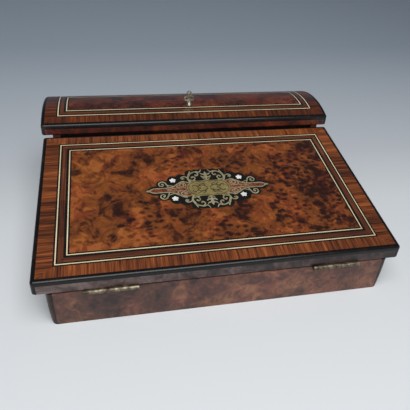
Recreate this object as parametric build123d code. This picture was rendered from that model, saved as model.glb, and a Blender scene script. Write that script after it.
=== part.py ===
from build123d import *
import math
import os

# A small writing box with a sloping lid hinged at its lower front edge and a domed lid hinged
# at the back. Millimetres, +Z up, +X to the right, +Y to the back. The origin is the middle of
# the underside.

# Outer sizes
case_width = 315.0
case_front_height = 36.2
slope_lid_length = 196.6
slope_lid_thickness = 13.8
slope_angle = 11.0
slope_lid_overhang = 10.0
dome_depth = 89.0
dome_rise = 9.0
dome_rim_height = 11.4
dome_overhang = 11.5

# Boards and skins
wall = 8.0
bottom_thickness = 6.0
veneer = 0.8
inlay = 1.0
leather = 0.8
paper = 0.4
dome_board = 6.0
dome_end_rail = 22.0

# Gaps between what moves and what it meets
lid_gap = 0.3
lids_apart = 0.6
dome_reveal = 0.7
partition_gap = 0.8
pin_clearance = 0.05
knuckle_room = 0.15
knuckle_gap = 0.2
wood_clearance = 0.3

# Rounded edges
corner_strip = 6.0
case_corner_radius = 5.0
foot_curve_height = 26.0
foot_inset = 1.6
foot_round = 4.0
lid_corner_radius = 3.0
lid_bead_radius = 2.4
lid_lower_radius = 1.6

# Inlay bands, from the edge of a lid inwards
edging = 4.0
slope_crossband = 11.0
dome_crossband = 9.8
side_band_extra = 2.4
string_black = 1.5
string_white = 1.0
slope_middle_band = 4.6
dome_middle_band = 4.2
inner_string_black = 2.4

# Cartouche in the middle of the sloping lid
cartouche_length = 128.0
cartouche_height = 0.453 * cartouche_length
plaque_length = 0.344 * cartouche_length
plaque_height = 0.156 * cartouche_length
plaque_corner = 0.35 * plaque_height
plaque_lobe = 0.04 * plaque_height
plaque_border = 0.04 * plaque_height
flower_across = 0.547 * cartouche_length
flower_up = 0.211 * cartouche_length
petal_radius = 0.0105 * cartouche_length
smallest_shell = 5.0
scroll_band = 0.0094 * cartouche_length
ground_border = 0.0117 * cartouche_length

# Butt hinges
front_hinge_length = 46.0
front_hinge_spacing = 206.0
rear_hinge_length = 38.0
rear_hinge_spacing = 200.0
knuckle_radius = 2.1
knuckle_sunk = 0.5
hinge_pin_radius = 1.1
leaf_thickness = 1.0
leaf_width = 7.0
hinge_knuckles = 5
screw_head_radius = 1.7
screw_shank_radius = 0.9
screw_length = 4.5
screw_head_depth = 0.8
screw_from_end = 6.5
screw_from_edge = 3.15

# Writing flap over the paper well
flap_thickness = 4.5
flap_drop = 2.4
flap_hinge_length = 30.0
flap_hinge_spacing = 180.0
flap_knuckle_radius = 1.5
flap_pin_radius = 0.7
flap_leaf_thickness = 0.8
flap_leaf_width = 6.0
flap_pin_sunk = 2.2
flap_front_gap = 2.0
flap_leaf_drop = 7.5
flap_border = 4.0
ledge_width = 7.0
ledge_depth = 6.0
tab_width = 16.0
tab_length = 20.0
tab_from_edge = 1.0
lid_leather_border = 14.0
lid_leather_front = 20.0

# Lock and key
key_setback = 29.7
lock_width = 38.0
lock_depth = 30.0
lock_height = 8.0
lock_plate = 1.2
lock_setback = 11.6
lock_recess = 0.6
lock_block_border = 4.0
bolt_width = 16.0
bolt_thickness = 2.6
bolt_travel = 4.5
bolt_end_gap = 1.0
bolt_window_gap = 1.5
slide_gap = 0.15
strike_width = 30.0
strike_height = 11.0
strike_thickness = 1.0
strike_sunk = 1.5
strike_screw_from_end = 3.0
lock_screw_from_edge = 4.0
pocket_depth = 4.0
pocket_gap = 0.6
key_shank_radius = 1.5
key_visible_height = 17.5
key_bow_width = 12.5
key_plate = 2.2
key_bit_reach = 5.0
key_bit_thickness = 1.6
key_collar_radius = 3.4
key_collar_height = 4.0
key_ring_radius = 2.6
key_ring_height = 1.2
key_stands_off = 0.6
keyhole_gap = 0.35
keyhole_bush_radius = 2.7

# Inkwells, dividers and pen tray behind the partition
inkwell_bay_gap = 2.5
divider_thickness = 5.0
inkwell_size = 40.0
inkwell_height = 38.0
inkwell_wall = 4.0
inkwell_seat_height = 28.0
inkwell_corner = 2.0
inkwell_bevel = 1.5
inkwell_mouth_radius = 9.0
fence_height = 14.0
fence_gap = 0.5
collar_radius = 13.0
collar_height = 3.0
cap_radius = 12.5
cap_height = 6.0
cap_pin_radius = 0.8
cap_pin_behind = 2.0
cap_knuckle_radius = 1.7
cap_knuckle_width = 3.0
cap_hinge_width = 8.0
cap_tongue_thickness = 1.2
cap_knob_radius = 2.2
cap_knob_height = 1.6
divider_drop = 10.0
tray_height = 20.0
tray_seat_height = 50.0
tray_wall = 4.0
tray_end = 8.0
trough_count = 3
runner = 5.0

# How far a cutter runs past what it cuts
over = 1.0

# Sizes that follow from those above
slope = math.radians(slope_angle)
slope_run = slope_lid_length * math.cos(slope)
slope_rise = slope_lid_length * math.sin(slope)
slope_lid_width = case_width + 2 * slope_lid_overhang
dome_width = case_width + 2 * dome_overhang
case_depth = slope_run + lids_apart + dome_depth
front_y = -case_depth / 2
back_y = case_depth / 2
dome_front_y = front_y + slope_run + lids_apart
partition_front_y = dome_front_y + partition_gap
partition_back_y = partition_front_y + wall
lid_lift = lid_gap * math.cos(slope)
slope_top_front_z = case_front_height + lid_gap + slope_lid_thickness
seat_z = slope_top_front_z + slope_rise + dome_reveal
dome_bottom_z = seat_z + lid_gap
dome_rim_top_z = dome_bottom_z + dome_rim_height
inner_half_width = case_width / 2 - wall
divider_setback = inner_half_width - inkwell_size - 2 * inkwell_bay_gap - divider_thickness
dome_radius = (dome_depth ** 2 / 4 + dome_rise ** 2) / (2 * dome_rise)
dome_centre_y = dome_front_y + dome_depth / 2
dome_centre_z = dome_rim_top_z + dome_rise - dome_radius
dome_half_angle = math.asin(dome_depth / 2 / dome_radius)

os.makedirs("parts", exist_ok=True)
nodes = {}


def block(x0, x1, y0, y1, z0, z1):
    """A box between two corners"""
    middle = ((x0 + x1) / 2, (y0 + y1) / 2, (z0 + z1) / 2)
    return Pos(*middle) * Box(x1 - x0, y1 - y0, z1 - z0)


def side_view(points, half_width):
    """A solid with this outline seen from the side"""
    outline = make_face(Polyline(*points, close=True))
    return extrude(Plane.YZ * outline, amount=half_width, both=True)


def rod(radius, x0, x1, y, z):
    """A round bar along X"""
    middle = ((x0 + x1) / 2, y, z)
    return Pos(*middle) * Rot(0, 90, 0) * Cylinder(radius, x1 - x0)


def solids_of(shape):
    """One node made of every separate solid in a shape or a list of shapes"""
    if isinstance(shape, (list, tuple)):
        found = [solid for piece in shape for solid in piece.solids()]
    else:
        found = list(shape.solids())
    if len(found) == 1:
        return found[0]
    return Compound(children=found)


def mirrored(shape):
    """The same piece on the other side of the box"""
    return mirror(shape, about=Plane.YZ)


def both_sides(shape):
    """A piece on the right and its twin on the left"""
    return [shape, mirrored(shape)]


def cut_all(shape, cutters):
    """A shape with every one of these taken away"""
    for cutter in cutters:
        shape = shape - cutter
    return shape


def corner_posts(half_width, y0, y1, size, z0, z1):
    """Four upright blocks, one round each corner of a rectangle"""
    post = block(half_width - size, half_width + size, y0 - size, y0 + size, z0, z1)
    return both_sides(post) + both_sides(Pos(0, y1 - y0, 0) * post)


def face_towards(shape, direction):
    """The flat face of a shape whose outward side looks this way"""
    wanted = Vector(*direction)
    return [face for face in shape.faces() if face.normal_at().get_angle(wanted) < 1.0][0]


def screw(length):
    """A countersunk screw that points down, with its head's top at the origin"""
    head = Cone(screw_shank_radius, screw_head_radius, screw_head_depth)
    shank = Cylinder(screw_shank_radius, length)
    return Pos(0, 0, -screw_head_depth / 2) * head + Pos(0, 0, -screw_head_depth - length / 2) * shank


# The plane of the case's sloping top edge, and the plane of the lid's top. In both, x runs
# across the box, y up the slope and z out of it.
edge_plane = Plane(
    origin=(0, front_y, case_front_height),
    x_dir=(1, 0, 0),
    z_dir=(0, -math.sin(slope), math.cos(slope)),
)
lid_plane = Plane(
    origin=(0, front_y, slope_top_front_z),
    x_dir=(1, 0, 0),
    z_dir=(0, -math.sin(slope), math.cos(slope)),
)
edge_frame = Location(edge_plane)
lid_frame = Location(lid_plane)


def edge_height(y):
    """Height of the case's sloping top edge at a distance from the front"""
    return case_front_height + (y - front_y) * math.tan(slope)


# Case: the outer form, with sides that curve in towards a rounded foot, and rounded corners
foot_radius = (foot_curve_height ** 2 + foot_inset ** 2) / (2 * foot_inset)


def foot_middle_x(inset):
    """Where the foot's rounding is centred, so that it runs smoothly into the curve of the side"""
    reach = foot_radius - (foot_round - inset)
    run = math.sqrt(reach ** 2 - (foot_curve_height - foot_round) ** 2)
    return case_width / 2 - inset - foot_radius + run


def foot_waste(inset):
    """What rounds off the lower right edge, on the form set in by a skin's thickness"""
    radius = foot_round - inset
    top = foot_curve_height - foot_radius * (foot_curve_height - foot_round) / (foot_radius - radius)
    waste = block(foot_middle_x(0), case_width, -case_depth, case_depth, -over, top)
    rounding = Pos(foot_middle_x(inset), 0, foot_round) * Rot(90, 0, 0) * Cylinder(radius, 3 * case_depth)
    return waste - rounding


def case_form(inset):
    """The outer form of the case, set in by a skin's thickness"""
    half = case_width / 2 - inset
    turn = math.asin(foot_curve_height / foot_radius) / 2
    middle_x = half - foot_radius * (1 - math.cos(turn))
    middle_z = foot_curve_height - foot_radius * math.sin(turn)
    right = [
        Line((0, 0), (half - foot_inset, 0)),
        ThreePointArc((half - foot_inset, 0), (middle_x, middle_z), (half, foot_curve_height)),
        Line((half, foot_curve_height), (half, seat_z)),
        Line((half, seat_z), (0, seat_z)),
        Line((0, seat_z), (0, 0)),
    ]
    elevation = Plane.XZ * make_face(right)
    right_half = extrude(elevation, amount=case_depth / 2 - inset, both=True)
    form = right_half + mirrored(right_half)
    corners = [
        edge
        for edge in form.edges()
        if abs(edge.center().X) > half - foot_inset and abs(edge.tangent_at(0.5).Z) > math.cos(slope)
    ]
    form = fillet(corners, case_corner_radius - inset)
    profile = [
        (front_y - over, -over),
        (front_y - over, edge_height(front_y - over)),
        (partition_front_y, edge_height(partition_front_y)),
        (partition_front_y, seat_z + over),
        (back_y + over, seat_z + over),
        (back_y + over, -over),
    ]
    form = form & side_view(profile, case_width)
    return cut_all(form, both_sides(foot_waste(inset)))


case_outer = case_form(0)
case_core = case_form(veneer)
half_case = case_width / 2

corner_boxes = corner_posts(half_case, front_y, back_y, corner_strip, 0, seat_z)
corner_strips = [case_outer & corner for corner in corner_boxes]
case_skin = cut_all(case_outer - case_core, corner_boxes)
case_core = cut_all(case_core, corner_boxes)

between_strips = half_case - corner_strip
front_zone = block(-between_strips, between_strips, front_y, front_y + wall, 0, seat_z)
back_zone = block(-between_strips, between_strips, back_y - wall, back_y, 0, seat_z)
front_wall = case_core & front_zone
back_wall = case_core & back_zone
front_skin = case_skin & front_zone
back_skin = case_skin & back_zone
side_skins = case_skin - front_zone - back_zone
side_zone = block(inner_half_width, half_case, front_y, back_y, 0, seat_z)
right_side = (case_core & side_zone) - front_zone - back_zone
left_side = mirrored(right_side)

bottom_board = block(
    -inner_half_width, inner_half_width, front_y + wall, back_y - wall, 0, bottom_thickness
)
partition = block(
    -inner_half_width,
    inner_half_width,
    partition_front_y,
    partition_back_y,
    bottom_thickness,
    seat_z,
)


# Sloping lid: a board with an ebonised edging, veneered edges and an inlaid face
half_lid = slope_lid_width / 2


def side_border(border):
    """How far an inlay lies from a lid's sides, where the crossbanding is wider than in front"""
    if border <= edging:
        return border
    return border + side_band_extra


def lid_slab(border, z0, z1):
    """A slab in the sloping lid, this far from its edges and between two heights"""
    reach = half_lid - side_border(border)
    return lid_frame * block(-reach, reach, border, slope_lid_length - border, z0, z1)


def lid_ring(outer, inner):
    """A string let into the sloping lid, between two distances from its edges"""
    return lid_slab(outer, -inlay, 0) - lid_slab(inner, -inlay - over, over)


def mitred_frame(outer, inner):
    """Four strips of veneer that meet at mitred corners, between two distances from the edges"""
    outer_x = half_lid - side_border(outer)
    inner_x = half_lid - side_border(inner)
    front = [(-outer_x, outer), (outer_x, outer), (inner_x, inner), (-inner_x, inner)]
    left = [(-outer_x, outer), (-inner_x, inner)]
    left += [(x, slope_lid_length - y) for x, y in reversed(left)]
    rear = [(x, slope_lid_length - y) for x, y in front]
    right = [(-x, y) for x, y in left]
    strips = []
    for outline in (front, rear, left, right):
        face = make_face(Polyline(*outline, close=True))
        strips.append(lid_frame * (Pos(0, 0, -inlay) * extrude(face, amount=inlay, dir=(0, 0, 1))))
    return strips


lid_bottom_z = case_front_height + lid_gap
lid_back_y = front_y + slope_run
lid_form = side_view(
    [
        (front_y, lid_bottom_z),
        (front_y, slope_top_front_z),
        (lid_back_y, slope_top_front_z + slope_rise),
        (lid_back_y, lid_bottom_z + slope_rise),
    ],
    half_lid,
)
lid_form = fillet(lid_form.edges().filter_by(Axis.Z), lid_corner_radius)
slope_normal = (0, -math.sin(slope), math.cos(slope))
slope_normal_down = (0, math.sin(slope), -math.cos(slope))
lid_form = fillet(face_towards(lid_form, slope_normal).edges(), lid_bead_radius)
lid_form = fillet(face_towards(lid_form, slope_normal_down).edges(), lid_lower_radius)

lid_top_z = slope_top_front_z + slope_rise
edging_zone = lid_slab(-edging, -edging, over) - lid_slab(edging, -edging - over, 2 * over)
slope_edging = lid_form & edging_zone
for post in corner_posts(half_lid, front_y, lid_back_y, edging, 0, lid_top_z + over):
    slope_edging = slope_edging + (lid_form & post)
face_layer = lid_slab(-edging, -inlay, over)
trimmed = block(
    -half_lid + veneer,
    half_lid - veneer,
    front_y + veneer,
    lid_back_y - veneer,
    0,
    lid_top_z,
)
slope_board = (lid_form & trimmed) - face_layer - slope_edging
slope_edge_skin = (lid_form - trimmed) - slope_edging

outer_string = edging + slope_crossband
slope_band_start = outer_string + 2 * string_black + string_white
slope_inner_string = slope_band_start + slope_middle_band
slope_panel_start = slope_inner_string + inner_string_black + string_white + string_black
slope_crossbanding = mitred_frame(edging, outer_string)
slope_band_strips = mitred_frame(slope_band_start, slope_inner_string)
outer_white = outer_string + string_black
inner_white = slope_inner_string + inner_string_black
slope_white = [
    lid_ring(outer_white, outer_white + string_white),
    lid_ring(inner_white, inner_white + string_white),
]
slope_black = [
    lid_ring(outer_string, outer_white),
    lid_ring(outer_white + string_white, slope_band_start),
    lid_ring(slope_inner_string, inner_white),
    lid_ring(inner_white + string_white, slope_panel_start),
]
slope_panel = lid_slab(slope_panel_start, -inlay, 0)


# Cartouche: an ebony ground with a brass plaque, red shell wings, scrolls and pearl flowers
half_length = cartouche_length / 2
half_height = cartouche_height / 2
half_plaque = plaque_length / 2
plaque_top = plaque_height / 2


def half_ring(radius, width):
    """The upper half of a flat ring"""
    ring = Circle(radius + width / 2) - Circle(radius - width / 2)
    return ring & (Pos(0, radius) * Rectangle(4 * radius, 2 * radius))


def scroll(x, y, radius, turn, flip):
    """A C scroll: a wide half ring that winds into a tighter one with a round eye"""
    inner_radius = 0.58 * radius
    shape = half_ring(radius, scroll_band)
    shape = shape + Pos(radius - inner_radius, 0) * Rot(0, 0, 180) * half_ring(inner_radius, scroll_band)
    shape = shape + Pos(radius - 2 * inner_radius, 0) * Circle(0.3 * radius)
    if flip:
        shape = mirror(shape, about=Plane.YZ)
    return Pos(x, y) * Rot(0, 0, turn) * shape


def four_ways(shape):
    """The same shape in all four quarters of the cartouche"""
    pair = shape + mirror(shape, about=Plane.YZ)
    return pair + mirror(pair, about=Plane.XZ)


# The scrolls of one quarter: middle, radius, turn and whether mirrored
outer_curl = (0.74 * half_length, 0.30 * half_height, 0.110 * half_height, 20, False)
inner_curl = (0.43 * half_length, 0.60 * half_height, 0.100 * half_height, 35, False)
crest_curl = (0.15 * half_length, 0.80 * half_height, 0.114 * half_height, 25, True)
quarter_scrolls = [outer_curl, inner_curl, crest_curl]

wing_rise = 1.1 * plaque_top
wing_outline = [
    Spline(
        (0, wing_rise),
        (half_plaque, wing_rise),
        (0.52 * half_length, 0.24 * half_height),
        (0.84 * half_length, 0.10 * half_height),
    ),
    Line((0.84 * half_length, 0.10 * half_height), (0.955 * half_length, 0)),
    Line((0.955 * half_length, 0), (0, 0)),
    Line((0, 0), (0, wing_rise)),
]
wing_quarter = make_face(wing_outline)
wing_whole = four_ways(wing_quarter)
shell_outline = [
    Spline(
        (0, wing_rise - scroll_band),
        (half_plaque, wing_rise - scroll_band),
        (0.51 * half_length, 0.24 * half_height - scroll_band),
        (0.80 * half_length, 0.10 * half_height - 0.8 * scroll_band),
    ),
    Line((0.80 * half_length, 0.10 * half_height - 0.8 * scroll_band), (0.86 * half_length, 0)),
    Line((0.86 * half_length, 0), (0, 0)),
    Line((0, 0), (0, wing_rise - scroll_band)),
]
plaque_sketch = RectangleRounded(plaque_length, plaque_height, plaque_corner)
plaque_sketch = plaque_sketch + Rectangle(plaque_length - 2 * plaque_corner, plaque_height + 2 * plaque_lobe)
shell_sketch = four_ways(make_face(shell_outline)) - offset(plaque_sketch, plaque_border)

# Leafy stems that rise from the plaque's corners and meet the crest
stem = trace(
    ThreePointArc(
        (0.62 * half_plaque, plaque_top),
        (0.92 * half_plaque, 0.55 * half_height),
        (0.72 * half_plaque, 0.86 * half_height),
    ),
    line_width=1.4 * scroll_band,
)
arch = trace(
    ThreePointArc(
        (0.78 * half_plaque, 0.62 * half_height),
        (0.48 * half_plaque, 0.90 * half_height),
        (0.08 * half_plaque, 0.90 * half_height),
    ),
    line_width=scroll_band,
)
link = trace(
    Line((0.34 * half_length, 0.42 * half_height), (0.42 * half_length, 0.66 * half_height)),
    line_width=scroll_band,
)
quarter_brass = stem + arch + link
for x, y, radius, turn, flip in quarter_scrolls:
    quarter_brass = quarter_brass + scroll(x, y, radius, turn, flip)
fleur_height = 0.74 * half_height
fleur = Rectangle(1.6 * scroll_band, 2 * fleur_height)
for up in (-1, 1):
    fleur = fleur + Pos(0, up * 0.56 * half_height) * Rectangle(7.0 * scroll_band, 1.3 * scroll_band)
    fleur = fleur + Pos(0, up * fleur_height) * Circle(1.4 * scroll_band)

# The ebony ground follows the brass with a narrow black border
ground_sketch = four_ways(
    make_face(
        Polyline(
            (0, 0),
            (half_length, 0),
            (0.84 * half_length, 0.10 * half_height + ground_border),
            (0.52 * half_length, 0.34 * half_height + ground_border),
            (0.86 * half_plaque, 0.80 * half_height),
            (0, 0.80 * half_height),
            close=True,
        )
    )
)
quarter_ground = Pos(flower_across / 2, flower_up / 2) * Circle(2.4 * petal_radius + ground_border)
for x, y, radius, turn, flip in quarter_scrolls:
    quarter_ground = quarter_ground + Pos(x, y) * Circle(radius + scroll_band / 2 + ground_border)
stem_lobe = Circle(0.117 * half_height + ground_border)
quarter_ground = quarter_ground + Pos(0.74 * half_plaque, 0.80 * half_height) * stem_lobe
ground_sketch = ground_sketch + four_ways(quarter_ground)
crest_radius = half_height - 0.78 * half_height
for up in (-1, 1):
    ground_sketch = ground_sketch + Pos(0, up * 0.78 * half_height) * Circle(crest_radius)

inside_border = offset(ground_sketch, -0.4 * ground_border)
curls_sketch = four_ways(quarter_brass) + fleur
shell_sketch = shell_sketch - curls_sketch

# Shell is only let in where a slip of it is large enough to saw. The rest is brass.
shell_sketch = Sketch() + [face for face in shell_sketch.faces() if face.area > smallest_shell]
brass_sketch = (wing_whole - shell_sketch) + curls_sketch
brass_sketch = (brass_sketch & inside_border) - plaque_sketch


def flower_sketch(x, y):
    """Five round petals about a small middle"""
    petal_reach = 1.35 * petal_radius
    flower = Pos(x, y) * Circle(petal_radius)
    for petal in range(5):
        angle = math.radians(90 + 72 * petal)
        petal_x = x + petal_reach * math.cos(angle)
        petal_y = y + petal_reach * math.sin(angle)
        flower = flower + Pos(petal_x, petal_y) * Circle(petal_radius)
    return flower


flower_sketches = [
    flower_sketch(across * flower_across / 2, up * flower_up / 2) for across in (-1, 1) for up in (-1, 1)
]


def in_face(sketch, depth=inlay):
    """A flat inlay of this outline in the sloping lid's face"""
    solid = extrude(sketch, amount=depth, dir=(0, 0, 1))
    return lid_frame * (Pos(0, slope_lid_length / 2, -depth) * solid)


cartouche_plaque = in_face(plaque_sketch)
cartouche_shell = in_face(shell_sketch)
cartouche_flowers = [in_face(sketch) for sketch in flower_sketches]
cartouche_scrolls = in_face(brass_sketch)
cartouche_ground = in_face(ground_sketch)
slope_panel = slope_panel - cartouche_ground
for inlaid in [cartouche_plaque, cartouche_shell, cartouche_scrolls] + cartouche_flowers:
    cartouche_ground = cartouche_ground - inlaid

# Leather let into the underside of the sloping lid, which is the outer half of the desk
lid_leather = edge_frame * block(
    -inner_half_width + lid_leather_border,
    inner_half_width - lid_leather_border,
    lid_leather_front,
    slope_lid_length - lid_leather_border,
    lid_lift,
    lid_lift + leather,
)
slope_board = slope_board - lid_leather


# Domed lid: rails, a curved board, an ebonised edging and an inlaid curved face
def dome_sector(inset, outer_radius, inner_radius, half_width):
    """A curved slice of the dome, from one distance of its long edges to the other"""
    half_angle = dome_half_angle - inset / dome_radius
    points = []
    for radius, turns in ((outer_radius, (-1, 0, 1)), (inner_radius, (1, 0, -1))):
        for turn in turns:
            angle = turn * half_angle
            y = dome_centre_y + radius * math.sin(angle)
            z = dome_centre_z + radius * math.cos(angle)
            points.append((y, z))
    outline = [
        ThreePointArc(points[0], points[1], points[2]),
        Line(points[2], points[3]),
        ThreePointArc(points[3], points[4], points[5]),
        Line(points[5], points[0]),
    ]
    return extrude(Plane.YZ * make_face(outline), amount=half_width, both=True)


half_dome = dome_width / 2
dome_profile = make_face(
    [
        Line((dome_front_y, dome_bottom_z), (dome_front_y, dome_rim_top_z)),
        ThreePointArc(
            (dome_front_y, dome_rim_top_z),
            (dome_centre_y, dome_rim_top_z + dome_rise),
            (back_y, dome_rim_top_z),
        ),
        Line((back_y, dome_rim_top_z), (back_y, dome_bottom_z)),
        Line((back_y, dome_bottom_z), (dome_front_y, dome_bottom_z)),
    ]
)
dome_form = extrude(Plane.YZ * dome_profile, amount=half_dome, both=True)
dome_form = fillet(dome_form.edges().filter_by(Axis.Z), lid_corner_radius)
dome_top_face = dome_form.faces().sort_by(Axis.Z)[-1]
dome_form = fillet(dome_top_face.edges(), lid_bead_radius)
dome_form = fillet(face_towards(dome_form, (0, 0, -1)).edges(), lid_lower_radius)


def dome_cylinder(radius):
    """Everything inside this radius about the dome's axis"""
    return rod(radius, -dome_width, dome_width, dome_centre_y, dome_centre_z)


dome_top_z = dome_rim_top_z + dome_rise
dome_field = dome_sector(edging, dome_radius + over, 0.5 * dome_radius, half_dome - edging)
dome_edging = (dome_form - dome_cylinder(dome_radius - edging)) - dome_field
for post in corner_posts(half_dome, dome_front_y, back_y, edging, dome_bottom_z - over, dome_top_z):
    dome_edging = dome_edging + (dome_form & post)
dome_trimmed = block(
    -half_dome + veneer,
    half_dome - veneer,
    dome_front_y + veneer,
    back_y - veneer,
    dome_bottom_z,
    dome_top_z,
)
dome_edge_skin = (dome_form - dome_trimmed) - dome_edging
dome_core = (dome_form & dome_trimmed) - dome_edging
board_shell = dome_cylinder(dome_radius - inlay) - dome_cylinder(dome_radius - inlay - dome_board)
dome_top_board = dome_core & board_shell
dome_below = dome_core & dome_cylinder(dome_radius - inlay - dome_board)
rail_inner_x = half_dome - dome_end_rail


def dome_rail(x0, x1, y0, y1):
    """A rail under the dome's board, between these places"""
    return dome_below & block(x0, x1, y0, y1, dome_bottom_z, dome_top_z)


dome_front_rail = dome_rail(-rail_inner_x, rail_inner_x, dome_front_y, dome_front_y + wall)
dome_back_rail = dome_rail(-rail_inner_x, rail_inner_x, back_y - wall, back_y)
dome_end_rails = both_sides(dome_rail(rail_inner_x, half_dome, dome_front_y, back_y))


def dome_patch(inset, depth=inlay):
    """The dome's face inside this distance from its edges"""
    return dome_sector(inset, dome_radius, dome_radius - depth, half_dome - side_border(inset))


def dome_ring(outer, inner):
    """A curved frame in the dome's face, between two distances from its edges"""
    reach = half_dome - side_border(inner)
    cutter = dome_sector(inner, dome_radius + over, dome_radius - inlay - over, reach)
    return dome_patch(outer) - cutter


dome_outer_string = edging + dome_crossband
dome_outer_white = dome_outer_string + string_black
dome_band_start = dome_outer_white + string_white + string_black
dome_inner_string = dome_band_start + dome_middle_band
dome_inner_white = dome_inner_string + inner_string_black
dome_panel_start = dome_inner_white + string_white + string_black
dome_crossbanding = dome_ring(edging, dome_outer_string)
dome_band = dome_ring(dome_band_start, dome_inner_string)
dome_white = [
    dome_ring(dome_outer_white, dome_outer_white + string_white),
    dome_ring(dome_inner_white, dome_inner_white + string_white),
]
dome_black = [
    dome_ring(dome_outer_string, dome_outer_white),
    dome_ring(dome_outer_white + string_white, dome_band_start),
    dome_ring(dome_inner_string, dome_inner_white),
    dome_ring(dome_inner_white + string_white, dome_panel_start),
]
dome_panel = dome_patch(dome_panel_start)


# Butt hinges, made in a frame whose x axis is the pin and whose y axis runs into the wood
def knuckle_spans(length, count):
    """Start and end of each knuckle along the pin, with a small gap between them"""
    step = length / count
    return [
        (-length / 2 + step * i + knuckle_gap / 2, -length / 2 + step * (i + 1) - knuckle_gap / 2)
        for i in range(count)
    ]


def hinge_leaf(length, radius, bore, thickness, width, floor, parity, count):
    """One leaf with every second knuckle. floor is the leaf's lower face above the pin"""
    leaf = block(-length / 2, length / 2, 0, radius + width, floor, floor + thickness)
    for index, (x0, x1) in enumerate(knuckle_spans(length, count)):
        barrel = rod(radius, x0, x1, 0, 0)
        if index % 2 == parity:
            leaf = leaf + barrel
        else:
            leaf = leaf - rod(radius + knuckle_room, x0 - knuckle_gap, x1 + knuckle_gap, 0, 0)
    return leaf - rod(bore, -length, length, 0, 0)


def hinge_pin(length, radius):
    """The pin of a hinge"""
    return rod(radius, -length / 2, length / 2, 0, 0)


def hinge_screws(length, radius, width, top, turn):
    """Three countersunk screws through a leaf, whose open face is at this height"""
    y = radius + width - screw_from_edge
    x_end = length / 2 - screw_from_end
    return [Pos(x, y, top) * Rot(turn, 0, 0) * screw(screw_length) for x in (-x_end, 0.0, x_end)]


pin_out = knuckle_radius - knuckle_sunk
front_hinge_frames = [
    edge_frame * Location((side * front_hinge_spacing / 2, -pin_out, lid_lift / 2)) for side in (-1, 1)
]
rear_hinge_frames = [
    Location((side * rear_hinge_spacing / 2, back_y + pin_out, seat_z + lid_gap / 2)) * Rot(0, 0, 180)
    for side in (-1, 1)
]


def fitted_hinges(frames, length, gap):
    """Leaves, pins and screws of a pair of hinges. gap is the space between the two boards"""
    lower_floor = -gap / 2 - leaf_thickness
    upper_floor = gap / 2
    lower = hinge_leaf(
        length, knuckle_radius, hinge_pin_radius, leaf_thickness, leaf_width, lower_floor, 0, hinge_knuckles
    )
    upper = hinge_leaf(
        length,
        knuckle_radius,
        hinge_pin_radius + pin_clearance,
        leaf_thickness,
        leaf_width,
        upper_floor,
        1,
        hinge_knuckles,
    )
    lower_screws = hinge_screws(length, knuckle_radius, leaf_width, -gap / 2, 0)
    upper_screws = hinge_screws(length, knuckle_radius, leaf_width, gap / 2, 180)
    lower = cut_all(lower, lower_screws)
    upper = cut_all(upper, upper_screws)
    pin = hinge_pin(length, hinge_pin_radius)
    set_of = {"lower": [], "upper": [], "pins": [], "lower_screws": [], "upper_screws": [], "room": []}
    end_x = length / 2 + wood_clearance
    barrel_room = rod(knuckle_radius + wood_clearance, -end_x, end_x, 0, 0)
    leaf_room = block(-length / 2, length / 2, 0, knuckle_radius + leaf_width, lower_floor, -lower_floor)
    for frame in frames:
        set_of["lower"].append(frame * lower)
        set_of["upper"].append(frame * upper)
        set_of["pins"].append(frame * pin)
        set_of["lower_screws"] += [frame * piece for piece in lower_screws]
        set_of["upper_screws"] += [frame * piece for piece in upper_screws]
        set_of["room"] += [frame * barrel_room, frame * leaf_room]
    return set_of


front_hinges = fitted_hinges(front_hinge_frames, front_hinge_length, lid_lift)
rear_hinges = fitted_hinges(rear_hinge_frames, rear_hinge_length, lid_gap)
front_wall = cut_all(front_wall, front_hinges["room"] + front_hinges["lower_screws"])
front_skin = cut_all(front_skin, front_hinges["room"])
slope_board = cut_all(slope_board, front_hinges["room"] + front_hinges["upper_screws"])
slope_edge_skin = cut_all(slope_edge_skin, front_hinges["room"])
back_wall = cut_all(back_wall, rear_hinges["room"] + rear_hinges["lower_screws"])
back_skin = cut_all(back_skin, rear_hinges["room"])
dome_back_rail = cut_all(dome_back_rail, rear_hinges["room"] + rear_hinges["upper_screws"])
dome_edge_skin = cut_all(dome_edge_skin, rear_hinges["room"])

# Writing flap over the paper well, with its ledges, leather, hinges and pull tab
well_length = (partition_front_y - front_y) / math.cos(slope)
flap_start = wall + wood_clearance
flap_pin_v = flap_start + flap_knuckle_radius
flap_pin_w = -flap_pin_sunk
flap_v0 = flap_pin_v
flap_v1 = well_length - flap_front_gap - flap_drop * math.tan(slope)
flap_half_width = inner_half_width - wood_clearance
flap_board = edge_frame * block(
    -flap_half_width, flap_half_width, flap_v0, flap_v1, -flap_drop - flap_thickness, -flap_drop
)
flap_frames = [
    edge_frame * Location((side * flap_hinge_spacing / 2, flap_pin_v, flap_pin_w)) for side in (-1, 1)
]
flap_leaf = hinge_leaf(
    flap_hinge_length,
    flap_knuckle_radius,
    flap_pin_radius + pin_clearance,
    flap_leaf_thickness,
    flap_leaf_width,
    -flap_leaf_thickness - (flap_drop - flap_pin_sunk),
    1,
    hinge_knuckles,
)
flap_pin = hinge_pin(flap_hinge_length, flap_pin_radius)
flap_room = rod(
    flap_knuckle_radius + wood_clearance,
    -flap_hinge_length / 2 - wood_clearance,
    flap_hinge_length / 2 + wood_clearance,
    0,
    0,
)
flap_moving_leaves = [frame * flap_leaf for frame in flap_frames]
flap_pins = [frame * flap_pin for frame in flap_frames]
flap_rooms = [frame * flap_room for frame in flap_frames]

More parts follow.
